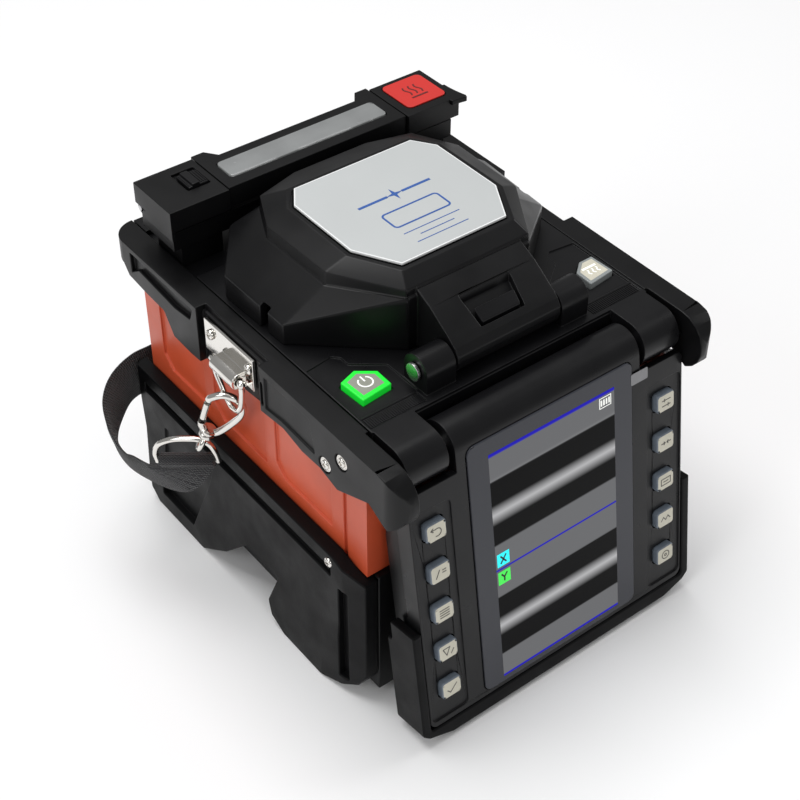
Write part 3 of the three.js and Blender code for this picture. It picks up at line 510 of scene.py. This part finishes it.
BADGE_MARK = finish("badge_mark", (0.10, 0.008, 0.008), 0.5, (200, 0.1))
CHROME = Surface("chromed", (0.78, 0.76, 0.72), 0.10, Metallic=1.0).polish(150, 0.04).grain(
    900, 0.05, 0.00004).material
STEEL = brushed("steel", (0.55, 0.55, 0.56), 0.28, (1, 8, 8))
ALUMINIUM = brushed("aluminium", (0.52, 0.52, 0.54), 0.35, (1, 10, 1))
BOARD = finish("circuit_board", (0.02, 0.12, 0.05), 0.4, (300, 0.25), grain=(1500, 0.3))
CELL = moulded("battery_case", (0.03, 0.03, 0.034), 0.5, 0.3)
SOCKET = finish("socket_dark", (0.006, 0.006, 0.007), 0.5)
WEAVE = woven()
STITCH = finish("stitching", (0.05, 0.05, 0.055), 0.8, (900, 0.3))
KEY_GREEN = glowing("key_green", (0.01, 0.78, 0.04), 0.28)
KEY_CENTRE = finish("key_centre", (0.30, 0.31, 0.26), 0.35, (120, 0.08))
KEY_WHITE = glowing("key_white", (0.9, 0.92, 0.88), 0.35)
HEAT_EDGE = finish("heat_key_edge", (0.28, 0.30, 0.30), 0.3, (150, 0.06))


# ---- carry strap -----------------------------------------------------------------------------

STRAP_W = 20.5
STRAP_T = 1.6
STEPS_PER_STOP = 8
SECTION_STEPS = 8             # across the band, on each face
STITCH_STEPS = range(6, 15, 2)
STITCH_PITCH = 2.6
STITCH_REACH = 0.9
STITCH_RADIUS = 0.16
# middle of the band on the right half, and the direction across it
STRAP_STOPS = [
    ((79.6, 26.9, 57.6), (0.664, 0.73, -0.164)),
    ((81.6, 29.5, 54), (0.62, 0.7, 0.05)),
    ((84.1, 36, 47.5), (0.5, 0.45, 0.6)),
    ((87, 44, 46), (0.42, 0.1, 0.88)),
    ((90.1, 52, 46.8), (0.3, -0.4, 0.85)),
    ((90, 60, 48.3), (0.3, -0.65, 0.7)),
    ((88, 66, 51.7), (0.42, -0.5, 0.72)),
    ((83.7, 71, 57.2), (0.55, -0.3, 0.76)),
    ((76.7, 77, 58.1), (0.42, -0.12, 0.86)),
    ((66.5, 82.8, 55.9), (0.2, 0, 0.97)),
    ((55.2, 86.7, 52.9), (0.05, 0, 1)),
    ((40, 90, 54), (0, 0, 1)),
    ((20, 91.6, 55.4), (0, 0, 1)),
    ((0, 92, 56), (0, 0, 1)),
]


def strap_lines():
    """The band's middle line and the direction across it at each step."""
    back = [((-p[0], p[1], p[2]), (-w[0], w[1], w[2])) for p, w in STRAP_STOPS[-2::-1]]
    stops = [*STRAP_STOPS, *back]
    line = smooth_line([p for p, _ in stops], STEPS_PER_STOP)
    across = smooth_line([Vector(w).normalized() for _, w in stops], STEPS_PER_STOP)
    return line, [w.normalized() for w in across]


def strap_section():
    """The band's section as (across, thick) shares: a flat weave with rounded selvedges."""
    section = []
    for sign in (1, -1):
        for i in range(SECTION_STEPS + 1):
            a = sign * (1 - 2 * i / SECTION_STEPS)
            section.append((a, sign * (1 - 0.75 * abs(a) ** 8)))
    return section


def make_strap():
    line, across = strap_lines()
    section = strap_section()
    count = len(section)
    verts = []
    for k, at in enumerate(line):
        thick = tangent_at(line, k).cross(across[k]).normalized()
        verts += [at + across[k] * (a * STRAP_W / 2) + thick * (b * STRAP_T / 2) for a, b in section]
    bm = skinned(verts, count)
    # the weave's own coordinates: millimetres across and along the band
    layer = bm.loops.layers.uv.new("band")
    along = [0.0]
    for a, b in zip(line, line[1:]):
        along.append(along[-1] + (b - a).length)
    bm.verts.index_update()
    for face in bm.faces:
        for loop in face.loops:
            k, i = divmod(loop.vert.index, count)
            loop[layer].uv = (section[i][0] * STRAP_W / 2, along[k])
    bmesh.ops.recalc_face_normals(bm, faces=bm.faces)
    strap = piece("strap_webbing.band", bm, "chassis", WEAVE, ["strap_webbing"], limit=60)
    make_stitches(line, across)
    return strap, [tuple(p * MM) for p in line]


def make_stitches(line, across):
    """Rows of stitches near each end, where the band is folded round its buckle bar."""
    for name, side in SIDES:
        stitches = []
        for k in STITCH_STEPS:
            here = k if side > 0 else len(line) - 1 - k
            at, wide = line[here], across[here]
            thick = tangent_at(line, here).cross(wide).normalized()
            reach = wide * STITCH_REACH
            for i in range(-3, 4):
                for face in (-1, 1):
                    middle = at + wide * (i * STITCH_PITCH) + thick * (face * (STRAP_T / 2 + 0.02))
                    stitches.append(tube([middle - reach, middle, middle + reach], STITCH_RADIUS, 6, 2))
        piece(f"strap_stitches.{name}", joined(*stitches), "chassis", STITCH, limit=60)


make_camera()


# ---- chrome fittings --------------------------------------------------------------------------

BRACKET_Y = 11.3
RING_X, RING_Z = 69.4, 106.5
RING_FRONT, RING_REAR = BRACKET_Y - 8.3, BRACKET_Y + 8.3
HOOK_FOOT = Vector((75, 20, 74.8))
HOOK_HEAD = Vector((69.2, 10.2, 96.4))
HOOK_ACROSS = Vector((-0.66, -0.61, -0.44))
BUCKLE_BAR = Vector((79.3, 27.1, 60))
BUCKLE_ALONG = Vector((-0.664, -0.73, 0.164))
BUCKLE_UP = Vector((0.183, 0.055, 0.981))
BUCKLE_HALF = 11.3
EYE_RADIUS = 3.5
FOLD_RADIUS = 2.7
# radii of the wires
RING_WIRE = 1.0
HOOK_WIRE = 1.33
STUB_WIRE = 1.45
EYE_WIRE = 1.0
GATE_WIRE = 1.2
BUCKLE_WIRE = 1.1


def hook_place():
    up = (HOOK_HEAD - HOOK_FOOT).normalized()
    across = (HOOK_ACROSS - HOOK_ACROSS.dot(up) * up).normalized()
    return Matrix.Translation(HOOK_FOOT) @ Matrix((across, up.cross(across), up)).transposed().to_4x4()


def wire(points, radius):
    return tube(points, radius, 16, 6)


def on_buckle(along, up):
    return BUCKLE_BAR + BUCKLE_ALONG * along + BUCKLE_UP * up


def folded_end(place):
    """The band's end turned round the buckle bar, with the weave's own coordinates."""
    half, round_at, r = STRAP_W / 2, 9.8, FOLD_RADIUS
    bm = lathe([(0, -half), (2.35, -half), (r, -round_at), (r, round_at), (2.35, half), (0, half)], 32)
    layer = bm.loops.layers.uv.new("band")
    for face in bm.faces:
        centre = face.calc_center_median()
        middle = math.atan2(centre.y, centre.x)
        for loop in face.loops:
            turn = math.atan2(loop.vert.co.y, loop.vert.co.x) - middle
            turn -= math.tau * round(turn / math.tau)
            loop[layer].uv = (loop.vert.co.z, (middle + turn) * FOLD_RADIUS)
    return moved(bm, place)


def swinging_ring():
    """The D-ring and the pin it turns on."""
    y0, y1 = RING_FRONT, RING_REAR
    loop = wire([(RING_X, y0, RING_Z), (RING_X, y0 + 0.2, RING_Z - 5), (RING_X, y0 + 1.2, RING_Z - 10.4),
                 (RING_X, y0 + 3.4, RING_Z - 13.9), (RING_X, y0 + 6.6, RING_Z - 14.8),
                 (RING_X, y0 + 9.2, RING_Z - 13.7), (RING_X, y0 + 12.4, RING_Z - 9.8),
                 (RING_X, y1 - 0.5, RING_Z - 4.8), (RING_X, y1, RING_Z)], RING_WIRE)
    pin = lathe([(0, y0 - 1.6), (0.8, y0 - 1.6), (1.5, y0 - 1), (1.5, y0 + 0.4), (1.1, y0 + 0.6),
                 (1.1, y1 - 0.6), (1.5, y1 - 0.4), (1.5, y1 + 1), (0.8, y1 + 1.6), (0, y1 + 1.6)], 20)
    place = Matrix.Translation((RING_X, 0, RING_Z)) @ Matrix.Rotation(-math.pi / 2, 4, "X")
    return joined(loop, moved(pin, place))


def snap_hook():
    """The hook's arm, its stub, the collar and the eye under it, in the hook's own frame."""
    arm = wire([(1.2, 0, 2), (3.4, 0, 4.8), (5.4, 0, 11), (6.5, 0, 17), (5.3, 0, 21.4), (1.6, 0, 23.8),
                (-2.6, 0, 23), (-5.4, 0, 19.6), (-5.8, 0, 17.8)], HOOK_WIRE)
    stub = wire([(-1, 0, 2), (-3.2, 0, 4.4), (-3.8, 0, 6.2)], STUB_WIRE)
    collar = lathe([(0, -0.6), (2.1, -0.6), (2.7, -0.1), (2.7, 1.2), (2.2, 1.7), (2.7, 2.2), (2.7, 3.6),
                    (2.1, 4), (0, 4)], 24)
    turns = [math.radians(90 + 24 * i) for i in range(16)]
    eye = wire([(EYE_RADIUS * math.cos(a), 0, EYE_RADIUS * math.sin(a)) for a in turns], EYE_WIRE)
    place = Matrix.Translation((0, 0, -3.2)) @ Matrix.Rotation(math.pi / 2, 4, "Z")
    return joined(arm, stub, collar, moved(eye, place))


def buckle():
    """The straight bar and the bow of the buckle ring."""
    half = BUCKLE_HALF
    bar = wire([on_buckle(-half, 0), on_buckle(0, 0), on_buckle(half, 0)], BUCKLE_WIRE)
    bow = [(-half, -0.6), (-11, 4), (-8.5, 8.2), (-3, 10.6), (3, 11), (7.5, 10.4), (10.2, 8), (11.2, 4),
           (half, -0.6)]
    return joined(bar, wire([on_buckle(u, v) for u, v in bow], BUCKLE_WIRE))


def make_fittings():
    hook = hook_place()
    fittings = []
    for name, side in SIDES:
        mirror = Matrix.Diagonal((side, 1, 1, 1))
        piece(f"strap_ring_{name}.wire", moved(swinging_ring(), mirror), f"strap_ring_{name}",
              CHROME, [f"strap_ring_{name}"], limit=50)
        fittings.append(piece(f"snap_hook_{name}.body", moved(snap_hook(), mirror @ hook), "chassis",
                              CHROME, [f"snap_hook_{name}"], limit=50))
        gate = wire([(-4.15, 0, 8.1), (-4.9, 0, 12), (-5.6, 0, 16)], GATE_WIRE)
        fittings.append(piece(f"hook_gate_{name}.body", moved(gate, mirror @ hook), f"hook_gate_{name}",
                              CHROME, [f"hook_gate_{name}"], limit=50))
        fittings.append(piece(f"buckle_ring_{name}.wire", moved(buckle(), mirror), "chassis",
                              CHROME, [f"buckle_ring_{name}"], limit=50))
        fold = folded_end(mirror @ aimed(BUCKLE_BAR, BUCKLE_ALONG))
        fittings.append(piece(f"strap_fold_{name}", fold, "chassis", WEAVE, limit=60))
        # the bracket's own shape, held by two pan-head screws
        refined(f"strap_bracket_{name}", CHROME, 0.25, 2)
        for k, y in enumerate((BRACKET_Y - 9.4, BRACKET_Y + 13.2)):
            screw(f"bracket_screw_{name}_{k}", (side * 66.8, y, 112.5), side, 1.9)
    return fittings


# ---- fasteners --------------------------------------------------------------------------------

SCREW_SPIN = 0.5


def screw(name, at, side, r, socket="cross"):
    """A pan-head screw of radius r with a socket, facing out on either side of the body."""
    profile = [(0, 0), (r, 0), (r, 0.35 * r), (0.86 * r, 0.52 * r), (0.6 * r, 0.62 * r), (0, 0.66 * r)]
    head = lathe(profile, 28)
    if socket == "cross":
        arms = [box(-0.62 * r, 0.62 * r, -0.13 * r, 0.13 * r, 0.25 * r, r),
                box(-0.13 * r, 0.13 * r, -0.62 * r, 0.62 * r, 0.25 * r, r)]
    else:
        arms = [prism(arc(0, 0, 0.5 * r, 0, 300, 5), 0.2 * r, r)]
    place = aimed(at, (side, 0, 0), SCREW_SPIN)
    piece(name, moved(carved(head, *arms), place), "chassis", CHROME, bevel=0.06 * r, limit=40)


strap, strap_path = make_strap()
strap_fittings = make_fittings()


# ---- body -------------------------------------------------------------------------------------

RIM_TOP = 119.8
ABOVE = 3                     # how far a cutter stands over the surface it cuts
CAP_SCREWS = ((-41.4, 102.9), (-50.2, 110.4))      # as (y, z)
# outlines seen from above, on the left side but for the heat key's
DECK_PAD = [(-57.2, -17.6), (-46.8, -16.4), (-44.6, -18.6), (-44.6, -22.6), (-34.6, -30.4),
            (-34.6, -45.9), (-57.2, -45.9)]
DECK_STRIP = [(-57.2, -51.6), (-35.4, -51.6), (-35.4, -46.6), (-57.2, -46.6)]
RIB_START, RIB_PITCH, RIB_WIDTH = -56.8, 0.82, 0.4
KEY_TOP = RIM_TOP + 1.5
POWER_OUTLINE = [(-53, -29.9), (-46, -27.6), (-40, -32.2), (-40.2, -39.9), (-52.3, -41.1)]
HEAT_OUTLINE = [(55.6, -28.6), (49.8, -28.6), (44.9, -32.6), (44.6, -40.3), (56, -39)]


def outward(side, low, high):
    """A span of x on either side, given as it is on the right."""
    return (low, high) if side > 0 else (-high, -low)


def flipped(outline, side):
    """An outline drawn on the left side, put on either side."""
    return [(-side * x, y) for x, y in outline]


def inset(outline, amount):
    """The outline drawn in by an even amount, by moving each edge along its normal."""
    p = [Vector(q) for q in outline]
    turn = sum(a.x * b.y - b.x * a.y for a, b in zip(p, p[1:] + p[:1]))
    sign = 1 if turn > 0 else -1
    result = []
    for i, at in enumerate(p):
        a = (at - p[i - 1]).normalized()
        b = (p[(i + 1) % len(p)] - at).normalized()
        na, nb = Vector((-a.y, a.x)) * sign, Vector((-b.y, b.x)) * sign
        result.append(tuple(at + (na + nb) * (amount / max(0.3, 1 + na.dot(nb)))))
    return result


def make_rails():
    for name, side in SIDES:
        field = prism([(-36, 103.5), (-17, 104.4), (-8.6, 103.4), (-8.6, 116.4), (-33.5, 116.4)],
                      *outward(side, 67.2, 70), "x")
        slot = prism(rounded(-7.4, -6.1, 103.4, 113.2, 0.6), *outward(side, 66.9, 70), "x")
        refined(f"side_rail_{name}", BLACK, 0.39, 3, cuts=[field, slot])
        for k, (y, z) in enumerate(CAP_SCREWS):
            ring = lathe([(0, 0), (2.75, 0), (2.75, 1.1), (2.35, 1.3), (2.2, 1.05), (0, 1.05)], 28)
            place = aimed((side * 66.4, y, z), (side, 0, 0))
            piece(f"cap_washer_{name}_{k}", moved(ring, place), "chassis", CHROME, bevel=0.12)
            screw(f"cap_screw_{name}_{k}", (side * 67.1, y, z), side, 1.75, "hex")


def make_base():
    refined("core_shell", ORANGE, 0.4, 2)
    refined("base_tray", BLACK, 0.6, 2)
    for name, side in SIDES:
        refined(f"bumper_{name}", RUBBER, 0.5, 3)
        screw(f"ledge_screw_{name}", (side * 68.6, -43.3, 60.6), side, 1.9)


def make_deck():
    cuts, ribs = [], []
    for _, side in SIDES:
        cuts.append(prism(flipped(DECK_PAD, side), RIM_TOP - 0.55, RIM_TOP + ABOVE))
        cuts.append(prism(flipped(DECK_STRIP, side), RIM_TOP - 0.45, RIM_TOP + ABOVE))
        for k in range(26):
            x0 = RIB_START + k * RIB_PITCH
            x1 = x0 + RIB_WIDTH
            rib = [(x0, -51.3), (x1, -51.3), (x1, -46.9), (x0, -46.9)]
            ribs.append(prism(flipped(rib, side), RIM_TOP - 0.55, RIM_TOP - 0.2))
    refined("top_deck", SATIN, 0.22, 2, cuts=cuts)
    piece("deck_ribs", joined(*ribs), "chassis", SATIN, limit=30)


def heat_waves(x, y, pitch, swing, turn, rise, width, low, high):
    """Three wavy strokes side by side, the sign for heat."""
    strokes = []
    for k in (-1, 0, 1):
        wave = [(x + pitch * k + swing * math.sin(i * turn), y + rise * i) for i in range(8)]
        strokes.append(ribbon(wave, width, low, high))
    return strokes


def make_deck_keys():
    base, top, mark = KEY_TOP - 0.6, KEY_TOP + 0.06, KEY_TOP + 0.02
    refined("power_key", KEY_GREEN, 0.5, 3)
    piece("power_key.centre", prism(inset(POWER_OUTLINE, 1.7), base, top), "power_key",
          KEY_CENTRE, bevel=0.12)
    cx, cy = -46.4, -34.4
    icon = joined(ribbon(arc(cx, cy, 2.4, 125, 415, 20), 0.5, mark, KEY_TOP + 0.12),
                  ribbon([(cx, cy + 0.3), (cx, cy + 3)], 0.5, mark, KEY_TOP + 0.12))
    piece("power_key.icon", icon, "power_key", KEY_WHITE)
    refined("heat_key", HEAT_EDGE, 0.5, 3)
    piece("heat_key.centre", prism(inset(HEAT_OUTLINE, 1.2), base, top), "heat_key", BEIGE,
          bevel=0.12)
    cx, cy = 50.3, -34.2
    bar = ribbon([(cx - 3, cy + 1.3), (cx + 3, cy + 1.3)], 0.9, mark, KEY_TOP + 0.14)
    waves = heat_waves(cx, cy + 0.2, 1.9, 0.35, 1.1, -0.36, 0.42, mark, KEY_TOP + 0.14)
    piece("heat_key.icon", joined(bar, *waves), "heat_key", KEY_WHITE)


make_rails()
make_base()
make_deck()
make_deck_keys()


# ---- wind hood --------------------------------------------------------------------------------

LABEL_Z = 148.5
LABEL_HALF = [(21.6, -21), (30.4, -5.5), (30.3, 26), (24.7, 34.1)]


def make_hood():
    refined("wind_hood", HOOD, 0.5, 3, limit=14)
    refined("hood_grip_bar", SATIN, 0.5, 3)
    outline = [*LABEL_HALF, *[(-x, y) for x, y in LABEL_HALF[::-1]]]
    edge = prism(outline, LABEL_Z - 0.9, LABEL_Z - 0.05)
    piece("hood_label.edge", edge, "hood", LABEL_EDGE, ["hood_label"], bevel=0.1)
    face = prism(inset(outline, 0.45), LABEL_Z - 0.5, LABEL_Z)
    piece("hood_label.face", face, "hood", LABEL, bevel=0.05)
    # a plain pictogram: two fiber ends meeting at an arc, over an empty frame and three rules
    y = 11
    low, high = LABEL_Z - 0.02, LABEL_Z + 0.06
    marks = [ribbon([(x, y), (x + 12, y)], 1.1, low, high) for x in (-15, 3)]
    points = [((3.4, 0.9)[i % 2], math.pi / 4 * i) for i in range(8)]
    star = [(r * math.cos(a), y + r * math.sin(a)) for r, a in points]
    marks.append(prism(star, low, high))
    frame_line = rounded(-11.5, 11.5, -5, 3.4, 1.4)
    marks.append(ribbon([*frame_line, frame_line[0]], 0.7, low, high))
    marks += [ribbon([(-x, y), (x, y)], 0.35, low, high) for x, y in ((11.5, -9), (7, -12), (10.5, -15))]
    piece("hood_label.pictogram", joined(*marks), "hood", LABEL_BLUE)


# ---- tube heater ------------------------------------------------------------------------------

HEAT_TOP = 143.6


def make_heater():
    refined("heater_base", BLACK, 0.22, 2)
    refined("heater_lid", BLACK, 0.3, 2)
    for side in ("left", "right"):
        refined(f"heater_clamp_{side}", BLACK, 0.28, 2)
    refined("heater_trough", ALUMINIUM, 0.2, 2)
    refined("heater_window", WINDOW, 0.35, 3)
    refined("heater_badge", RED, 0.15, 2)
    top = HEAT_TOP + 0.3
    bar = ribbon([(47.4, 61.6), (54.6, 61.6)], 0.8, top, top + 0.08)
    waves = heat_waves(51, 63.2, 2.5, 0.55, 0.9, 0.85, 0.6, top, top + 0.08)
    piece("heater_badge.icon", joined(bar, *waves), "heater_clamp_right", BADGE_MARK)
    ribs = [box(-49 + x, -48.6 + x, 61.6, 68.9, HEAT_TOP + 0.5, HEAT_TOP + 0.95)
            for x in [k * 0.95 for k in range(8)]]
    refined("clamp_slider", SATIN, 0.3, 2)
    piece("clamp_slider.ribs", joined(*ribs), "clamp_slider", SATIN, bevel=0.1)


make_hood()
make_heater()


# ---- display unit -----------------------------------------------------------------------------

HINGE = Vector([j for j in frame["joints"] if j["name"] == "display_tilt"][0]["pos_m"]) / MM
TILT = math.radians(8.88)
DISPLAY = Matrix.Translation(HINGE) @ Matrix.Rotation(-TILT, 4, "X")
FACE = -8.22                  # housing face, in front of the hinge axis
GLASS = -8.72
PICTURE_TOP = -6.4            # lit area below the hinge axis
PICTURE_LOW = -101.5
PICTURE_X = 27
KEY_FACE = -9.77
KEY_X = 50
KEY_ROWS = [-(23.45 + row * 16.85) for row in range(5)]
TAG_X = -23.8                 # middle of the two tags in the picture


def on_display(bm):
    return moved(bm, DISPLAY)


def picture():
    """The lit picture: two magnified fiber views, one over the other, between thin blue lines."""
    grey, pale = (0.142, 0.144, 0.150), (0.18, 0.182, 0.188)
    black, white, blue = (0.001, 0.001, 0.001), (0.46, 0.46, 0.47), (0.012, 0.008, 0.44)
    upper, lower = (0.20, 0.20, 0.205), (0.26, 0.26, 0.265)      # beside the bright middle of a fiber
    # distance below the top edge in millimetres, and the colour there
    bands = [(0, blue), (1.1, blue), (1.2, grey), (9.6, grey), (10.8, pale), (11.2, black), (20.6, black),
             (22.4, upper), (24.6, white), (26.2, lower), (28.8, black), (37, black), (37.3, grey),
             (47.2, grey), (47.3, blue), (48.2, blue), (48.3, grey), (59, grey), (59.3, black),
             (67.8, black), (69.6, upper), (71.8, white), (73.4, lower), (76, black), (84.4, black),
             (84.8, grey), (94, grey), (94.1, blue), (95.1, blue)]
    surface = Surface("screen_picture", (0.0015, 0.0015, 0.0018), 0.14, Specular_IOR_Level=0.06)
    down = DISPLAY.to_3x3() @ Vector((0, 0, -1))
    dot = surface.node("ShaderNodeVectorMath", operation="DOT_PRODUCT")
    surface.link(surface.where, dot.inputs[0])
    dot.inputs[1].default_value = down
    top = down.dot(DISPLAY @ Vector((0, 0, PICTURE_TOP))) * MM
    height = (PICTURE_TOP - PICTURE_LOW) * MM
    share = surface.ranged(dot.outputs["Value"], 0, 1, top, top + height)
    ramp = surface.node("ShaderNodeValToRGB")
    stops = ramp.color_ramp.elements
    for k, (at, colour) in enumerate(bands):
        stop = stops[k] if k < 2 else stops.new(1)
        stop.position = min(1, at * MM / height)
        stop.color = (*colour, 1)
    surface.link(share, ramp.inputs["Fac"])
    surface.link(ramp.outputs["Color"], surface.shader.inputs["Emission Color"])
    surface.shader.inputs["Emission Strength"].default_value = 1.0
    surface.polish(30, 0.02)
    return surface.material


def key_icons():
    """Plain line icons as lists of lines, drawn about each key's middle in millimetres."""
    square = [(-2.2, -1.3), (2.2, -1.3), (2.2, 1.3), (-2.2, 1.3), (-2.2, -1.3)]
    left = [
        [arc(0.2, -0.2, 1.5, 120, -120), [(-2.2, 1.2), (-0.6, 1.2)],
         [(-1.3, 2), (-2.3, 1.2), (-1.3, 0.4)]],
        [[(-2, -1.6), (-0.4, 1.6)], [(0.6, 0.9), (2.2, 0.9)], [(0.6, -0.1), (2.2, -0.1)]],
        [[(-2, z), (2, z)] for z in (1.5, 0.5, -0.5, -1.5)],
        [[(-2.2, 1.6), (0.6, 1.6), (-0.8, -1.4), (-2.2, 1.6)], [(1, -1.6), (2.2, 0.2)]],
        [[(-2, -0.1), (-0.8, -1.4), (2.1, 1.5)]],
    ]
    right = [
        [[(-2, 1.1), (2, 1.1)], [(-2, -1.1), (2, -1.1)], [(-0.8, 1.8), (-0.8, 0.4)],
         [(0.9, -0.4), (0.9, -1.8)]],
        [[(-2.3, 0), (-0.5, 0)], [(0.5, 0), (2.3, 0)], [(-1.1, 0.7), (-0.4, 0), (-1.1, -0.7)],
         [(1.1, 0.7), (0.4, 0), (1.1, -0.7)]],
        [square, [(-1.2, 0), (1.2, 0)]],
        [[(-2.2, -0.6), (-1.1, 0.9), (0, -0.6), (1.1, 0.9), (2.2, -0.6)]],
        [arc(0, 0, 1.7, 0, 360, 20), arc(0, 0, 0.5, 0, 360, 8)],
    ]
    return {"left": left, "right": right}


def make_keys():
    icons = key_icons()
    out = DISPLAY.to_3x3() @ Vector((0, -1, 0))
    low, high = KEY_FACE - 0.05, KEY_FACE + 0.05
    for name, side in SIDES:
        for row, z in enumerate(KEY_ROWS):
            node = f"key_{name}_{row + 1}"
            cap = refined(node, BEIGE, 0.7, 3)
            cap.data.materials.append(KEY_SIDE)
            for polygon in cap.data.polygons:
                flat = polygon.normal.dot(out) > 0.93
                polygon.material_index = 0 if flat else 1
            lines = [ribbon([(side * KEY_X + a, z + b) for a, b in line], 0.36, low, high, "y")
                     for line in icons[name][row]]
            piece(f"{node}.icon", on_display(joined(*lines)), node, KEY_MARK)


def make_picture_marks():
    """A tag with a letter on each fiber view, and a battery gauge at the top right."""
    front = GLASS - 0.06
    for name, colour, top in (("x", (0.0, 0.62, 0.68), 41.2), ("y", (0.03, 0.55, 0.05), 48.9)):
        z1 = PICTURE_TOP - top
        tag = prism([(-26.4, z1 - 5.4), (-21.2, z1 - 5.4), (-21.2, z1), (-26.4, z1)], front, GLASS, "y")
        light = glowing(f"tag_{name}", colour, 0.9)
        piece(f"picture_tag_{name}", on_display(tag), "display", light)
        cx, cz = TAG_X, z1 - 2.7
        x0, x1, low, high = cx - 1.2, cx + 1.2, cz - 1.6, cz + 1.6
        if name == "x":
            lines = [[(x0, low), (x1, high)], [(x0, high), (x1, low)]]
        else:
            lines = [[(x0, high), (cx, cz), (cx, low)], [(x1, high), (cx, cz)]]
        strokes = [ribbon(line, 0.62, front - 0.05, front, "y") for line in lines]
        piece(f"picture_letter_{name}", on_display(joined(*strokes)), "display", SOCKET)
    z1 = PICTURE_TOP - 2
    z0 = z1 - 3.9
    case = ribbon([(20.4, z0), (25.4, z0), (25.4, z1), (20.4, z1), (20.4, z0)], 0.35, front, GLASS, "y")
    cells = [ribbon([(21.2 + 1.15 * k, z1 - 3.1), (21.2 + 1.15 * k, z1 - 0.8)], 0.7, front, GLASS, "y")
             for k in range(4)]
    piece("picture_battery", on_display(joined(case, *cells)), "display", KEY_WHITE)


def make_display():
    strips = [rounded(*outward(side, 42.6, 58.2), -103.6, -14.9, 2) for _, side in SIDES]
    cuts = [on_display(prism(strip, FACE - 2, FACE + 0.7, "y")) for strip in strips]
    refined("display_front", SATIN, 0.26, 2, cuts=cuts)
    refined("display_back", BLACK, 0.8, 3)
    refined("display_guard", RUBBER, 0.9, 3)
    refined("display_glass", BEZEL, 0.3, 3)
    lit = rounded(-PICTURE_X, PICTURE_X, PICTURE_LOW, PICTURE_TOP, 0.3)
    panel = prism(lit, GLASS - 0.03, GLASS + 0.2, "y")
    piece("display_picture", on_display(panel), "display", picture())
    # film tab at the glass's upper right corner
    tab = prism(rounded(34.6, 42.2, -10, -5.6, 0.5), GLASS - 0.12, GLASS - 0.02, "y")
    piece("film_tab", on_display(tab), "display", FILM)
    make_picture_marks()
    make_keys()


make_display()


# ---- rear and inside --------------------------------------------------------------------------

def make_rear():
    refined("rear_cover", BLACK, 0.4, 2)
    refined("battery_pack", CELL, 0.6, 3)
    refined("battery_latch", SATIN, 0.4, 2)


CHIP_BASE = 67.7              # height over which the board's own colour ends


def make_inside():
    board = refined("main_board", BOARD, 0.15, 1)
    board.data.materials.append(SOCKET)
    for polygon in board.data.polygons:
        polygon.material_index = 1 if polygon.center.z > CHIP_BASE * MM else 0
    refined("splice_stage", ALUMINIUM, 0.25, 2)
    for node in ("electrode_front", "electrode_rear", "display_shaft", "hood_hinge_pin", "heater_pin"):
        refined(node, STEEL, 0.15, 2, limit=50)
    for side in ("left", "right"):
        refined(f"lens_{side}", BLACK, 0.3, 2)
        refined(f"fiber_clamp_{side}", SATIN, 0.3, 2)


make_rear()
make_inside()


# ---- floor and light --------------------------------------------------------------------------

FLOOR_HALF = 4000
AIM = (0, 0, 0.08)            # what every lamp faces, in metres


def area_light(name, at, size, power):
    lamp = bpy.data.lights.new(name, "AREA")
    lamp.shape = "RECTANGLE"
    lamp.size, lamp.size_y = size
    lamp.energy = power
    obj = bpy.data.objects.new(name, lamp)
    direction = Vector(AIM) - Vector(at)
    obj.matrix_world = Matrix.Translation(at) @ direction.to_track_quat("-Z", "Y").to_matrix().to_4x4()
    bpy.context.scene.collection.objects.link(obj)


def make_studio():
    h = FLOOR_HALF
    floor = linked("floor", bm_of([(-h, -h, 0), (h, -h, 0), (h, h, 0), (-h, h, 0)], [(0, 1, 2, 3)]))
    floor.data.transform(Matrix.Scale(MM, 4))
    floor.data.materials.append(finish("floor", (0.97, 0.97, 0.975), 0.6, (2, 0.01)))
    world = bpy.data.worlds.new("studio")
    bpy.context.scene.world = world
    world.use_nodes = True
    background = world.node_tree.nodes["Background"]
    background.inputs["Color"].default_value = (1, 1, 1, 1)
    background.inputs["Strength"].default_value = 0.30
    area_light("top", (-0.1, 0.35, 1.3), (1.1, 0.8), 13)
    area_light("left", (-1.1, -0.1, 0.75), (0.5, 0.7), 3.2)
    area_light("front", (-0.2, -1.2, 0.8), (0.8, 0.4), 2.2)
    area_light("right", (1.2, -0.2, 0.8), (0.5, 0.7), 3)
    bpy.context.scene.view_settings.view_transform = "Standard"


make_studio()
